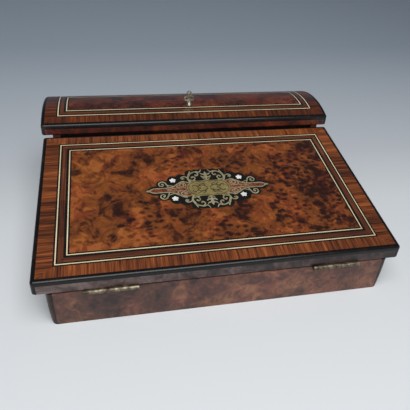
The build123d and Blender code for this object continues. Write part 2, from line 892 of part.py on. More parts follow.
# The fixed leaf stands flat against the inner face of the front wall
flap_pin_y = front_y + flap_pin_v * math.cos(slope) - flap_pin_w * math.sin(slope)
flap_pin_z = case_front_height + flap_pin_v * math.sin(slope) + flap_pin_w * math.cos(slope)
leaf_half = flap_hinge_length / 2
leaf_y = front_y + wall
fixed_leaf = block(
    -leaf_half, leaf_half, leaf_y, leaf_y + flap_leaf_thickness, flap_pin_z - flap_leaf_drop, flap_pin_z
)
fixed_leaf = fixed_leaf + block(
    -leaf_half, leaf_half, leaf_y, flap_pin_y, flap_pin_z - flap_leaf_thickness, flap_pin_z
)
for index, (x0, x1) in enumerate(knuckle_spans(flap_hinge_length, hinge_knuckles)):
    if index % 2 == 0:
        fixed_leaf = fixed_leaf + rod(flap_knuckle_radius, x0, x1, flap_pin_y, flap_pin_z)
    else:
        room_radius = flap_knuckle_radius + knuckle_room
        fixed_leaf = fixed_leaf - rod(room_radius, x0 - knuckle_gap, x1 + knuckle_gap, flap_pin_y, flap_pin_z)
fixed_leaf = fixed_leaf - rod(flap_pin_radius, -flap_hinge_length, flap_hinge_length, flap_pin_y, flap_pin_z)
flap_fixed_leaves = [Pos(side * flap_hinge_spacing / 2, 0, 0) * fixed_leaf for side in (-1, 1)]
flap_board = cut_all(flap_board, flap_rooms + flap_moving_leaves)

flap_leather = edge_frame * block(
    -flap_half_width + flap_border,
    flap_half_width - flap_border,
    flap_v0 + flap_knuckle_radius + flap_leaf_width + flap_border,
    flap_v1 - flap_border,
    -flap_drop - leather,
    -flap_drop,
)
flap_board = flap_board - flap_leather
pull_tab = edge_frame * block(
    -tab_width / 2,
    tab_width / 2,
    flap_v1 - tab_length,
    flap_v1 - tab_from_edge,
    -flap_drop,
    -flap_drop + leather,
)

ledge_top = -flap_drop - flap_thickness - wood_clearance
side_ledge = edge_frame * block(
    inner_half_width - ledge_width,
    inner_half_width,
    wall + ledge_depth,
    well_length - ledge_depth,
    ledge_top - ledge_depth,
    ledge_top,
)
flap_ledges = both_sides(side_ledge)

# Lining of the paper well
well_lining = block(
    -inner_half_width,
    inner_half_width,
    front_y + wall,
    partition_front_y,
    bottom_thickness,
    bottom_thickness + paper,
)

# Dividers, pen tray and inkwells behind the partition
bay_back_y = back_y - wall
divider_outer = divider_setback + divider_thickness
divider = block(
    divider_setback,
    divider_outer,
    partition_back_y,
    bay_back_y,
    bottom_thickness,
    seat_z - divider_drop,
)
tray_runner = block(
    divider_setback - runner,
    divider_setback,
    partition_back_y,
    bay_back_y,
    tray_seat_height - runner,
    tray_seat_height,
)
tray_half = divider_setback - wood_clearance
tray_y0 = partition_back_y + wood_clearance
tray_y1 = bay_back_y - wood_clearance
tray_z0 = tray_seat_height
tray_z1 = tray_z0 + tray_height
pen_tray = block(-tray_half, tray_half, tray_y0, tray_y1, tray_z0, tray_z1)
trough_pitch = (tray_y1 - tray_y0 - tray_wall) / trough_count
trough_radius = (trough_pitch - tray_wall) / 2
trough_centres = [tray_y0 + tray_wall + trough_radius + trough_pitch * i for i in range(trough_count)]
for y in trough_centres:
    pen_tray = pen_tray - rod(trough_radius, -tray_half + tray_end, tray_half - tray_end, y, tray_z1)

bay_centre_x = (divider_outer + inner_half_width) / 2
bay_centre_y = (partition_back_y + bay_back_y) / 2
half_well = inkwell_size / 2
fence_top = inkwell_seat_height + fence_height
inkwell_seat = block(
    divider_outer, inner_half_width, partition_back_y, bay_back_y, bottom_thickness, fence_top
) - block(
    divider_outer - over,
    inner_half_width + over,
    bay_centre_y - half_well - fence_gap,
    bay_centre_y + half_well + fence_gap,
    inkwell_seat_height,
    fence_top + over,
)


def inkwell(x):
    """A square cut-glass inkwell with a round mouth, standing at this place"""
    middle = Pos(x, bay_centre_y, inkwell_seat_height + inkwell_height / 2)
    glass = middle * Box(inkwell_size, inkwell_size, inkwell_height)
    glass = fillet(glass.edges().filter_by(Axis.Z), inkwell_corner)
    glass = chamfer(glass.faces().sort_by(Axis.Z)[-1].edges(), inkwell_bevel)
    hollow_size = inkwell_size - 2 * inkwell_wall
    hollow = middle * Box(hollow_size, hollow_size, inkwell_height - 3 * inkwell_wall)
    mouth = Pos(0, 0, inkwell_height / 2) * middle * Cylinder(inkwell_mouth_radius, 4 * inkwell_wall)
    return glass - hollow - mouth


collar_z = inkwell_seat_height + inkwell_height
cap_floor_z = collar_z + collar_height + wood_clearance
cap_pin_y = bay_centre_y + collar_radius + cap_pin_behind
cap_pin_z = collar_z + collar_height + wood_clearance / 2


def inkwell_collar(x):
    """The brass collar cemented on an inkwell, with two hinge knuckles and the pin"""
    hinge_half = cap_hinge_width / 2
    gap_half = cap_knuckle_width / 2 + knuckle_gap
    ring = Cylinder(collar_radius, collar_height) - Cylinder(inkwell_mouth_radius, collar_height + over)
    collar = Pos(x, bay_centre_y, collar_z + collar_height / 2) * ring
    ear_y = bay_centre_y + collar_radius - cap_pin_behind
    ear = block(x - hinge_half, x + hinge_half, ear_y, cap_pin_y, collar_z, collar_z + collar_height / 2)
    barrels = rod(cap_knuckle_radius, x - hinge_half, x + hinge_half, cap_pin_y, cap_pin_z)
    room = rod(cap_knuckle_radius + knuckle_room, x - gap_half, x + gap_half, cap_pin_y, cap_pin_z)
    collar = (collar + ear + barrels) - room
    return collar + rod(cap_pin_radius, x - hinge_half, x + hinge_half, cap_pin_y, cap_pin_z)


def inkwell_cap(x):
    """The domed brass cap of an inkwell, with its hinge knuckle"""
    knuckle_half = cap_knuckle_width / 2
    ball_radius = (cap_radius ** 2 + cap_height ** 2) / (2 * cap_height)
    ball = Pos(x, bay_centre_y, cap_floor_z + cap_height - ball_radius) * Sphere(ball_radius)
    slab = Pos(x, bay_centre_y, cap_floor_z + cap_height / 2) * Cylinder(cap_radius, cap_height)
    knob_y = bay_centre_y - cap_radius / 4
    knob = Pos(x, knob_y, cap_floor_z + cap_height) * Cylinder(cap_knob_radius, cap_knob_height)
    tongue_y = bay_centre_y + cap_radius - 2 * cap_pin_behind
    tongue_top = cap_floor_z + cap_tongue_thickness
    tongue = block(x - knuckle_half, x + knuckle_half, tongue_y, cap_pin_y, cap_floor_z, tongue_top)
    knuckle = rod(cap_knuckle_radius, x - knuckle_half, x + knuckle_half, cap_pin_y, cap_pin_z)
    bore = rod(cap_pin_radius + pin_clearance, x - cap_hinge_width, x + cap_hinge_width, cap_pin_y, cap_pin_z)
    return (ball & slab) + tongue + knuckle + knob - bore


# Lock under the dome, its bolt, the strike plate on the partition, and the key
key_angle = dome_half_angle - key_setback / dome_radius
key_y = dome_centre_y - dome_radius * math.sin(key_angle)
key_surface_z = dome_centre_z + dome_radius * math.cos(key_angle)
half_lock = lock_width / 2
half_bolt = bolt_width / 2
lock_y0 = dome_front_y + lock_setback
lock_y1 = lock_y0 + lock_depth
lock_top_z = seat_z - lock_recess
lock_bottom_z = lock_top_z - lock_height
bolt_z0 = lock_bottom_z + lock_height / 2 - bolt_thickness / 2
bolt_z1 = bolt_z0 + bolt_thickness
half_block = half_lock + lock_block_border
block_y1 = lock_y1 + lock_block_border
lock_block = dome_below & block(
    -half_block, half_block, dome_front_y + wall, block_y1, dome_bottom_z, dome_top_z
)
lock_block = lock_block + block(
    -half_block, half_block, lock_y0, block_y1, lock_top_z, dome_bottom_z + over
)
lock_case = block(-half_lock, half_lock, lock_y0, lock_y1, lock_bottom_z, lock_top_z)
lock_hollow = block(
    -half_lock + lock_plate,
    half_lock - lock_plate,
    lock_y0 + lock_plate,
    lock_y1 - lock_plate,
    lock_bottom_z + lock_plate,
    lock_top_z - lock_plate,
)
bolt_mouth = block(
    -half_bolt - slide_gap,
    half_bolt + slide_gap,
    lock_y0 - over,
    lock_y0 + lock_plate + over,
    bolt_z0 - slide_gap,
    bolt_z1 + slide_gap,
)
lock_case = lock_case - lock_hollow - bolt_mouth
lock_bolt = block(
    -half_bolt, half_bolt, lock_y0 + slide_gap, lock_y1 - lock_plate - bolt_end_gap, bolt_z0, bolt_z1
)
window_half = key_bit_reach + bolt_window_gap
bolt_window = block(
    -window_half,
    window_half,
    key_y - window_half,
    key_y + bolt_travel + key_bit_thickness / 2 + bolt_window_gap,
    bolt_z0 - over,
    bolt_z1 + over,
)
lock_bolt = lock_bolt - bolt_window

strike_z1 = seat_z - strike_sunk
strike_z0 = strike_z1 - strike_height
strike_y = partition_back_y + strike_thickness
strike_plate = block(-strike_width / 2, strike_width / 2, partition_back_y, strike_y, strike_z0, strike_z1)
bolt_pocket = block(
    -half_bolt - pocket_gap,
    half_bolt + pocket_gap,
    partition_back_y - pocket_depth,
    strike_y + over,
    bolt_z0 - pocket_gap,
    bolt_z1 + pocket_gap,
)
strike_screw_x = strike_width / 2 - strike_screw_from_end
strike_screws = [
    Pos(side * strike_screw_x, strike_y, (strike_z0 + strike_z1) / 2) * Rot(-90, 0, 0) * screw(screw_length)
    for side in (-1, 1)
]
strike_plate = cut_all(strike_plate, strike_screws + [bolt_pocket])
partition = cut_all(partition, strike_screws + [bolt_pocket])

lock_screw_x = half_lock - lock_screw_from_edge
lock_screws = [
    Pos(side * lock_screw_x, y, lock_bottom_z) * Rot(180, 0, 0) * screw(lock_height + screw_length)
    for side in (-1, 1)
    for y in (lock_y0 + lock_screw_from_edge, lock_y1 - lock_screw_from_edge)
]
lock_case = cut_all(lock_case, lock_screws)
lock_block = cut_all(lock_block, lock_screws)

# The key stands in the lock: shank and bit, a flared collar, a ring, and a bow of three rings
shank_bottom = lock_bottom_z + lock_plate + wood_clearance
collar_bottom = key_surface_z + key_stands_off
ring_bottom = collar_bottom + key_collar_height
bow_base = ring_bottom + key_ring_height
bow_radius = key_bow_width / 4
bow_hole = bow_radius / 2
bow_top = key_surface_z + key_visible_height
shank = Pos(0, key_y, (shank_bottom + bow_base) / 2) * Cylinder(key_shank_radius, bow_base - shank_bottom)
bit_half = key_bit_thickness / 2
bit = block(0, key_bit_reach, key_y - bit_half, key_y + bit_half, bolt_z0, bolt_z1)
collar_cone = Cone(key_collar_radius, key_shank_radius, key_collar_height)
collar = Pos(0, key_y, collar_bottom + key_collar_height / 2) * collar_cone
ring = Pos(0, key_y, ring_bottom + key_ring_height / 2) * Cylinder(key_ring_radius, key_ring_height)
side_ring_z = bow_base + bow_radius
bow_places = [(-bow_radius, side_ring_z), (bow_radius, side_ring_z), (0, bow_top - bow_radius)]
stem_width = key_shank_radius
stem_height = bow_top - bow_base - bow_radius - bow_hole
bow = Pos(0, bow_base + stem_height / 2) * Rectangle(stem_width, stem_height)
for x, z in bow_places:
    bow = bow + Pos(x, z) * Circle(bow_radius)
for x, z in bow_places:
    bow = bow - Pos(x, z) * Circle(bow_hole)
key_bow = Pos(0, key_y, 0) * extrude(Plane.XZ * bow, amount=key_plate / 2, both=True)
key = shank + bit + collar + ring + key_bow

hole_radius = key_shank_radius + keyhole_gap
keyhole = Pos(0, key_y, key_surface_z) * Cylinder(hole_radius, 2 * (key_surface_z - lock_top_z))
bush_zone = Pos(0, key_y, key_surface_z) * Cylinder(keyhole_bush_radius, 4 * inlay)
keyhole_bush = (dome_patch(dome_panel_start) & bush_zone) - keyhole
dome_panel = dome_panel - bush_zone
dome_top_board = dome_top_board - keyhole
lock_block = lock_block - keyhole
lock_case = lock_case - Pos(0, key_y, lock_top_z) * Cylinder(hole_radius, 2 * lock_plate + over)

# Every node under the name that a person would use
nodes["case_front_wall"] = front_wall
nodes["case_back_wall"] = back_wall
nodes["case_left_side"] = left_side
nodes["case_right_side"] = right_side
nodes["case_bottom_board"] = bottom_board
nodes["case_partition"] = partition
nodes["case_corner_strips"] = corner_strips
nodes["case_front_veneer"] = front_skin
nodes["case_back_veneer"] = back_skin
nodes["case_side_veneers"] = side_skins
nodes["well_lining"] = well_lining
nodes["flap_ledges"] = flap_ledges
nodes["bay_dividers"] = both_sides(divider) + both_sides(tray_runner)
nodes["pen_tray"] = pen_tray
nodes["inkwell_seats"] = both_sides(inkwell_seat)
nodes["inkwells"] = [inkwell(side * bay_centre_x) for side in (-1, 1)]
nodes["inkwell_collars"] = [inkwell_collar(side * bay_centre_x) for side in (-1, 1)]
nodes["inkwell_cap_left"] = inkwell_cap(-bay_centre_x)
nodes["inkwell_cap_right"] = inkwell_cap(bay_centre_x)
nodes["strike_plate"] = strike_plate
nodes["front_hinge_case_leaves"] = front_hinges["lower"]
nodes["front_hinge_lid_leaves"] = front_hinges["upper"]
nodes["rear_hinge_case_leaves"] = rear_hinges["lower"]
nodes["rear_hinge_lid_leaves"] = rear_hinges["upper"]
nodes["flap_hinge_case_leaves"] = flap_fixed_leaves
nodes["flap_hinge_flap_leaves"] = flap_moving_leaves
nodes["hinge_pins"] = front_hinges["pins"] + rear_hinges["pins"] + flap_pins
nodes["case_screws"] = front_hinges["lower_screws"] + rear_hinges["lower_screws"] + strike_screws
nodes["slope_lid_screws"] = front_hinges["upper_screws"]
nodes["dome_screws"] = rear_hinges["upper_screws"] + lock_screws
nodes["slope_lid_board"] = slope_board
nodes["slope_lid_edging"] = slope_edging
nodes["slope_lid_edge_veneer"] = slope_edge_skin
nodes["slope_lid_crossbanding"] = slope_crossbanding
nodes["slope_lid_middle_band"] = slope_band_strips
nodes["slope_lid_black_strings"] = slope_black
nodes["slope_lid_white_strings"] = slope_white
nodes["slope_lid_burr_panel"] = slope_panel
nodes["slope_lid_leather"] = lid_leather
nodes["cartouche_ground"] = cartouche_ground
nodes["cartouche_plaque"] = cartouche_plaque
nodes["cartouche_shell"] = cartouche_shell
nodes["cartouche_scrolls"] = cartouche_scrolls
nodes["cartouche_flowers"] = cartouche_flowers
nodes["dome_top_board"] = dome_top_board
nodes["dome_rails"] = [dome_front_rail, dome_back_rail] + dome_end_rails
nodes["dome_edging"] = dome_edging
nodes["dome_edge_veneer"] = dome_edge_skin
nodes["dome_crossbanding"] = dome_crossbanding
nodes["dome_middle_band"] = dome_band
nodes["dome_black_strings"] = dome_black
nodes["dome_white_strings"] = dome_white
nodes["dome_burr_panel"] = dome_panel
nodes["keyhole_bush"] = keyhole_bush
nodes["lock_block"] = lock_block
nodes["lock_case"] = lock_case
nodes["lock_bolt"] = lock_bolt
nodes["key"] = key
nodes["writing_flap_board"] = flap_board
nodes["writing_flap_leather"] = [flap_leather, pull_tab]

for name, shape in nodes.items():
    export_step(solids_of(shape), f"parts/{name}.step")
print(len(nodes), "nodes")
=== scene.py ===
import bpy
import math
from mathutils import Matrix, Vector


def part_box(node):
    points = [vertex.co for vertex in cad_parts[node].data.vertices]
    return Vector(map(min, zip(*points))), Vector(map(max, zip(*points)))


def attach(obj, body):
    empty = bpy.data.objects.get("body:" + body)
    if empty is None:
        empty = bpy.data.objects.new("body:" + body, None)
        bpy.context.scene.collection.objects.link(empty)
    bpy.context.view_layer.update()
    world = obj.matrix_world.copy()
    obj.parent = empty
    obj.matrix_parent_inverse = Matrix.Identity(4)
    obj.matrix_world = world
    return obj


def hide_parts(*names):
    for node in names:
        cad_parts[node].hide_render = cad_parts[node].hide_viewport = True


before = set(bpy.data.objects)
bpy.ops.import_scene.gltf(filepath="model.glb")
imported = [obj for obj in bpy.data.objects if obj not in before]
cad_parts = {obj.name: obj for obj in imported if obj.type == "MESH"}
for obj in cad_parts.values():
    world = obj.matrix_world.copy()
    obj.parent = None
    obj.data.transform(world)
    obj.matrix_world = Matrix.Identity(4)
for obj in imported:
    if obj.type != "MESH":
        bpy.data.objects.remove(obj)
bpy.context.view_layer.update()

# The case's carcass: planed poplar boards, glued and pinned, and stained dark brown where they show.
# The lids' boards are stained lighter. They give the eye a plain, faintly streaked straight grain.
MM = 0.001
LEFT_TO_RIGHT, FRONT_TO_BACK = 0, 1


def linear(colour):
    """A colour written as sRGB hex, turned to linear light"""
    parts = [int(colour[i:i + 2], 16) / 255 for i in (1, 3, 5)]
    return tuple(c / 12.92 if c <= 0.04045 else ((c + 0.055) / 1.055) ** 2.4 for c in parts) + (1.0,)


def add(tree, kind, inputs=None, stops=None, **settings):
    """Adds a node. inputs maps each socket to a value or to another node's output, stops are the places
    and colours of a colour ramp, and settings are the node's own"""
    node = tree.nodes.new(kind)
    for name, value in settings.items():
        setattr(node, name, value)
    for socket, value in (inputs or {}).items():
        if isinstance(value, bpy.types.NodeSocket):
            tree.links.new(value, node.inputs[socket])
        else:
            node.inputs[socket].default_value = value
    if stops:
        elements = node.color_ramp.elements
        while len(elements) < len(stops):
            elements.new(0.5)
        for element, (place, colour) in zip(elements, stops):
            element.position = place
            element.color = linear(colour)
    return node


def start_finish(name, roughness, ior=1.5, metallic=0.0, coat=0.0, coat_roughness=0.1):
    """A new material with only its shader, and its gloss set"""
    finish = bpy.data.materials.new(name)
    finish.use_nodes = True
    shader = finish.node_tree.nodes["Principled BSDF"]
    shader.inputs["Roughness"].default_value = roughness
    shader.inputs["IOR"].default_value = ior
    shader.inputs["Metallic"].default_value = metallic
    shader.inputs["Coat Weight"].default_value = coat
    shader.inputs["Coat Roughness"].default_value = coat_roughness
    return finish, finish.node_tree, shader


def wear(node, finish):
    """Gives a node of the frame its finish"""
    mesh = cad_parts[node].data
    mesh.materials.clear()
    mesh.materials.append(finish)


def even_stops(first, last, colours):
    """These colours, spaced evenly between two values of a pattern"""
    step = (last - first) / (len(colours) - 1)
    return [(first + step * i, colour) for i, colour in enumerate(colours)]


def grain(name, along, grain_mm, length_mm, colours, roughness):
    """Straight-grained wood with slow clouds in its tone. along is the way that the grain runs"""
    cloud_mm = 45
    finish, tree, shader = start_finish(name, roughness)
    place = add(tree, "ShaderNodeTexCoord").outputs["Object"]
    scale = [1 / ((length_mm if axis == along else grain_mm) * MM) for axis in range(3)]
    stretched = add(tree, "ShaderNodeMapping", {"Vector": place, "Scale": scale}).outputs[0]
    streaked = {"Vector": stretched, "Scale": 1.0, "Detail": 4.0}
    streaks = add(tree, "ShaderNodeTexNoise", streaked).outputs[0]
    clouded = {"Vector": place, "Scale": 1 / (cloud_mm * MM), "Detail": 2.0}
    clouds = add(tree, "ShaderNodeTexNoise", clouded).outputs[0]
    both = add(tree, "ShaderNodeMath", {0: streaks, 1: clouds}, operation="ADD").outputs[0]
    tone = add(tree, "ShaderNodeMath", {0: both, 1: 0.5}, operation="MULTIPLY").outputs[0]
    ramp = add(tree, "ShaderNodeValToRGB", {"Fac": tone}, stops=even_stops(0.32, 0.68, colours))
    tree.links.new(ramp.outputs[0], shader.inputs["Base Color"])
    bump = add(tree, "ShaderNodeBump", {"Height": streaks, "Strength": 0.25, "Distance": 0.05 * MM})
    tree.links.new(bump.outputs[0], shader.inputs["Normal"])
    return finish


dark_stain = ["#2c170f", "#40231a", "#553224"]
stained_poplar = grain(
    "stained_poplar", along=LEFT_TO_RIGHT, grain_mm=1.6, length_mm=60, colours=dark_stain, roughness=0.5
)
for node in ("case_front_wall", "case_back_wall", "case_bottom_board", "dome_rails", "lock_block"):
    wear(node, stained_poplar)
stained_sides = grain(
    "stained_poplar_sides",
    along=FRONT_TO_BACK,
    grain_mm=1.6,
    length_mm=60,
    colours=dark_stain,
    roughness=0.5,
)
for node in ("case_left_side", "case_right_side", "flap_ledges"):
    wear(node, stained_sides)
planed_poplar = grain(
    "planed_poplar",
    along=LEFT_TO_RIGHT,
    grain_mm=1.4,
    length_mm=50,
    colours=["#5d3c22", "#7a5230", "#946a42"],
    roughness=0.5,
)
for node in ("slope_lid_board", "dome_top_board", "writing_flap_board"):
    wear(node, planed_poplar)


# The case's skin: burr veneer of thuya, a knife-cut sheet glued on and french polished.
# It gives the eye soft brown clouds, a few small dark eyes and a low gloss.
def burr(
    name, seed, colours, spread, lean, cloud_mm, smudge_depth, spot_mm, spot_depth, roughness, coat
):
    """French-polished burr: dark clouds and smudges, small frayed eyes, and patches of a redder brown.
    seed moves the figure, a wide spread makes it quieter, and lean lightens it from left to right.
    smudge_depth and spot_depth say how much darker the smudges and the eyes are"""
    swirl_mm, swirl_reach_mm = 30, 22
    fray_mm, fray_reach_mm = 5, 4
    crowd_mm = 45
    crowd_lean = -3.4 * lean
    tone_middle = 0.65 + 0.7 * smudge_depth
    finish, tree, shader = start_finish(name, roughness, ior=1.45, coat=coat, coat_roughness=0.16)
    place = add(tree, "ShaderNodeTexCoord").outputs["Object"]
    across = add(tree, "ShaderNodeSeparateXYZ", {"Vector": place}).outputs["X"]
    moved = add(tree, "ShaderNodeMapping", {"Vector": place, "Location": seed}).outputs[0]

    # The sheet's whole figure is bent by broad swirls.
    swirling = {"Vector": moved, "Scale": 1 / (swirl_mm * MM), "Detail": 2.0}
    swirls = add(tree, "ShaderNodeTexNoise", swirling).outputs["Color"]
    bending = {0: swirls, 1: (swirl_reach_mm * MM,) * 3, 2: moved}
    bent = add(tree, "ShaderNodeVectorMath", bending, operation="MULTIPLY_ADD").outputs[0]
    figure = {}
    for layer, size_mm, detail, unevenness, distortion in (
        ("clouds", cloud_mm, 2.0, 0.5, 0.5),
        ("smears", 0.55 * cloud_mm, 4.0, 0.6, 0.6),
        ("mottle", 8, 6.0, 0.62, 1.2),
        ("fibres", 1.8, 3.0, 0.5, 3.0),
        ("patches", 26, 2.0, 0.5, 0.0),
    ):
        drawn = {
            "Vector": bent,
            "Scale": 1 / (size_mm * MM),
            "Detail": detail,
            "Roughness": unevenness,
            "Distortion": distortion,
        }
        figure[layer] = add(tree, "ShaderNodeTexNoise", drawn).outputs[0]
    smudged = {"Value": figure["smears"], "From Min": 0.38, "From Max": 0.53}
    smudges = add(tree, "ShaderNodeMapRange", smudged).outputs[0]

    # The eyes are long and frayed, and stand in crowds, most of them on the darker side.
    lengthened = {"Vector": moved, "Rotation": (0.0, 0.0, 0.5), "Scale": (1.0, 1.5, 1.0)}
    long_place = add(tree, "ShaderNodeMapping", lengthened).outputs[0]
    fraying = {"Vector": moved, "Scale": 1 / (fray_mm * MM), "Detail": 3.0, "Roughness": 0.6}
    frays = add(tree, "ShaderNodeTexNoise", fraying).outputs["Color"]
    tearing = {0: frays, 1: (fray_reach_mm * MM,) * 3, 2: long_place}
    torn = add(tree, "ShaderNodeVectorMath", tearing, operation="MULTIPLY_ADD").outputs[0]
    cells = {"Vector": torn, "Scale": 1 / (spot_mm * MM), "Randomness": 1.0}
    from_eye = add(tree, "ShaderNodeTexVoronoi", cells).outputs["Distance"]
    dotted = {"Value": from_eye, "From Min": 0.22, "From Max": 0.5, "To Min": 1.0, "To Max": 0.0}
    dots = add(tree, "ShaderNodeMapRange", dotted).outputs[0]
    gathering = {"Vector": moved, "Scale": 1 / (crowd_mm * MM), "Detail": 1.0}
    gathered = add(tree, "ShaderNodeTexNoise", gathering).outputs[0]
    leaning = {0: across, 1: crowd_lean, 2: gathered}
    leant = add(tree, "ShaderNodeMath", leaning, operation="MULTIPLY_ADD").outputs[0]
    crowded = {"Value": leant, "From Min": 0.42, "From Max": 0.58}
    crowds = add(tree, "ShaderNodeMapRange", crowded).outputs[0]
    spots = add(tree, "ShaderNodeMath", {0: dots, 1: crowds}, operation="MULTIPLY").outputs[0]

    # All of it adds up to one tone, and some patches are a little redder.
    tone = 0.0
    for value, share in (
        (across, lean),
        (figure["clouds"], 0.6),
        (smudges, smudge_depth),
        (figure["mottle"], 0.55),
        (figure["fibres"], 0.16),
        (spots, -spot_depth),
    ):
        part = add(tree, "ShaderNodeMath", {0: value, 1: share, 2: tone}, operation="MULTIPLY_ADD")
        tone = part.outputs[0]
    stops = even_stops(tone_middle - spread / 2, tone_middle + spread / 2, colours)
    ramp = add(tree, "ShaderNodeValToRGB", {"Fac": tone}, stops=stops).outputs[0]
    reddened = {
        "Value": figure["patches"],
        "From Min": 0.45,
        "From Max": 0.65,
        "To Min": 0.5,
        "To Max": 0.49,
    }
    hue = add(tree, "ShaderNodeMapRange", reddened).outputs[0]
    tinted = add(tree, "ShaderNodeHueSaturation", {"Hue": hue, "Color": ramp}).outputs[0]
    tree.links.new(tinted, shader.inputs["Base Color"])
    relief = {"Height": figure["mottle"], "Strength": 0.10, "Distance": 0.12 * MM}
    bump = add(tree, "ShaderNodeBump", relief)
    tree.links.new(bump.outputs[0], shader.inputs["Normal"])
    return finish


case_burr = burr(
    "thuya_burr_case",
    seed=(0.31, 0.12, 0.05),
    colours=["#30201c", "#452d27", "#57382c", "#744b38", "#8c6046"],
    spread=0.4,
    lean=0.25,
    cloud_mm=40,
    smudge_depth=0.1,
    spot_mm=12,
    spot_depth=0.1,
    roughness=0.42,
    coat=0.12,
)
for node in ("case_front_veneer", "case_side_veneers", "case_back_veneer"):
    wear(node, case_burr)


# The edging of both lids and the case's rounded corner strips: pearwood stained black, glued on and
# polished. It gives the eye a near-black, soft-edged line that catches a thin cool highlight. Hands and
# cloths have rubbed it brown in places, most of all on the corner strips. The partition wears the same
# black as painted shade, standing in for the shadow that the dome's rim casts on it.
def ebonised(name, seed, roughness, rub_start=0.55):
    """Black-stained pearwood. The lower rub_start is, the more of it is rubbed brown"""
    rub_mm = 14
    finish, tree, shader = start_finish(name, roughness, ior=1.4)
    place = add(tree, "ShaderNodeTexCoord").outputs["Object"]
    moved = add(tree, "ShaderNodeMapping", {"Vector": place, "Location": seed}).outputs[0]
    rubbed = {"Vector": moved, "Scale": 1 / (rub_mm * MM), "Detail": 6.0, "Roughness": 0.65}
    rubs = add(tree, "ShaderNodeTexNoise", rubbed).outputs[0]
    stops = [
        (0.0, "#090808"),
        (rub_start, "#0d0b0b"),
        (rub_start + 0.13, "#22150f"),
        (rub_start + 0.25, "#331f16"),
    ]
    ramp = add(tree, "ShaderNodeValToRGB", {"Fac": rubs}, stops=stops)
    tree.links.new(ramp.outputs[0], shader.inputs["Base Color"])
    bump = add(tree, "ShaderNodeBump", {"Height": rubs, "Strength": 0.12, "Distance": 0.2 * MM})
    tree.links.new(bump.outputs[0], shader.inputs["Normal"])
    return finish


ebonised_pear_and_painted_shade = ebonised("ebonised_pearwood_and_painted_shade", seed=(0.0, 0.4, 0.2), roughness=0.24)
# The partition's black here is painted shade, for the shadow under the dome's rim.
for node in ("slope_lid_edging", "dome_edging", "case_partition"):
    wear(node, ebonised_pear_and_painted_shade)
rubbed_pear = ebonised("rubbed_pearwood", seed=(0.3, 0.1, 0.6), roughness=0.3, rub_start=0.32)
wear("case_corner_strips", rubbed_pear)

# The sloping lid's edges and the dome's rim: the same burr, cut in narrow strips and glued round them.
# It gives the eye a dark red-brown under the dome. Under the sloping lid its brown is greyed by a painted
# reflection of the pale floor, and is lighter to the left.
# The grey in these colours is a painted reflection of the pale floor on the burr's brown.
lid_edge_burr_and_reflection = burr(
    "thuya_burr_lid_edge_painted_reflection",
    seed=(0.11, 0.52, 0.35),
    colours=["#140a08", "#2b1c19", "#44332f", "#5e4c48", "#70605b"],
    spread=0.45,
    lean=-0.8,
    cloud_mm=26,
    smudge_depth=0.08,
    spot_mm=7,
    spot_depth=0.1,
    roughness=0.4,
    coat=0.15,
)
wear("slope_lid_edge_veneer", lid_edge_burr_and_reflection)
dome_edge_burr = burr(
    "thuya_burr_dome_edge",
    seed=(0.61, 0.22, 0.15),
    colours=["#0e0301", "#2a0b03", "#461805", "#60270b", "#753715"],
    spread=0.5,
    lean=0.0,
    cloud_mm=30,
    smudge_depth=0.08,
    spot_mm=8,
    spot_depth=0.14,
    roughness=0.36,
    coat=0.1,
)
wear("dome_edge_veneer", dome_edge_burr)


# The crossbanding of both lids is tulipwood cut across the strip, and the middle band inside it is
# rosewood cut along the strip. Both are mitred at the corners and glued down in leaves of 47 mm.
# They give the eye fine dark stripes on orange-brown and a plainer brown band, and each leaf has a tone
# of its own.
slope_angle = math.radians(11)
plaque_thickness = 1.0 * MM
banding_edge = 4.0 * MM
leaf_length = 47.0 * MM
side_extra = 2.4 * MM
slope_cross_width = 11.0 * MM
dome_cross_width = 9.8 * MM

# The sloping lid's face runs through the plaque's upper back edge, down to the lid's front.
slope_low, slope_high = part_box("slope_lid_edging")
plaque_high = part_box("cartouche_plaque")[1]
plaque_back_y = plaque_high.y - plaque_thickness * math.sin(slope_angle)
slope_front_z = plaque_high.z - (plaque_back_y - slope_low.y) * math.tan(slope_angle)
slope_length = (slope_high.y - slope_low.y) / math.cos(slope_angle)
dome_low, dome_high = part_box("dome_edging")


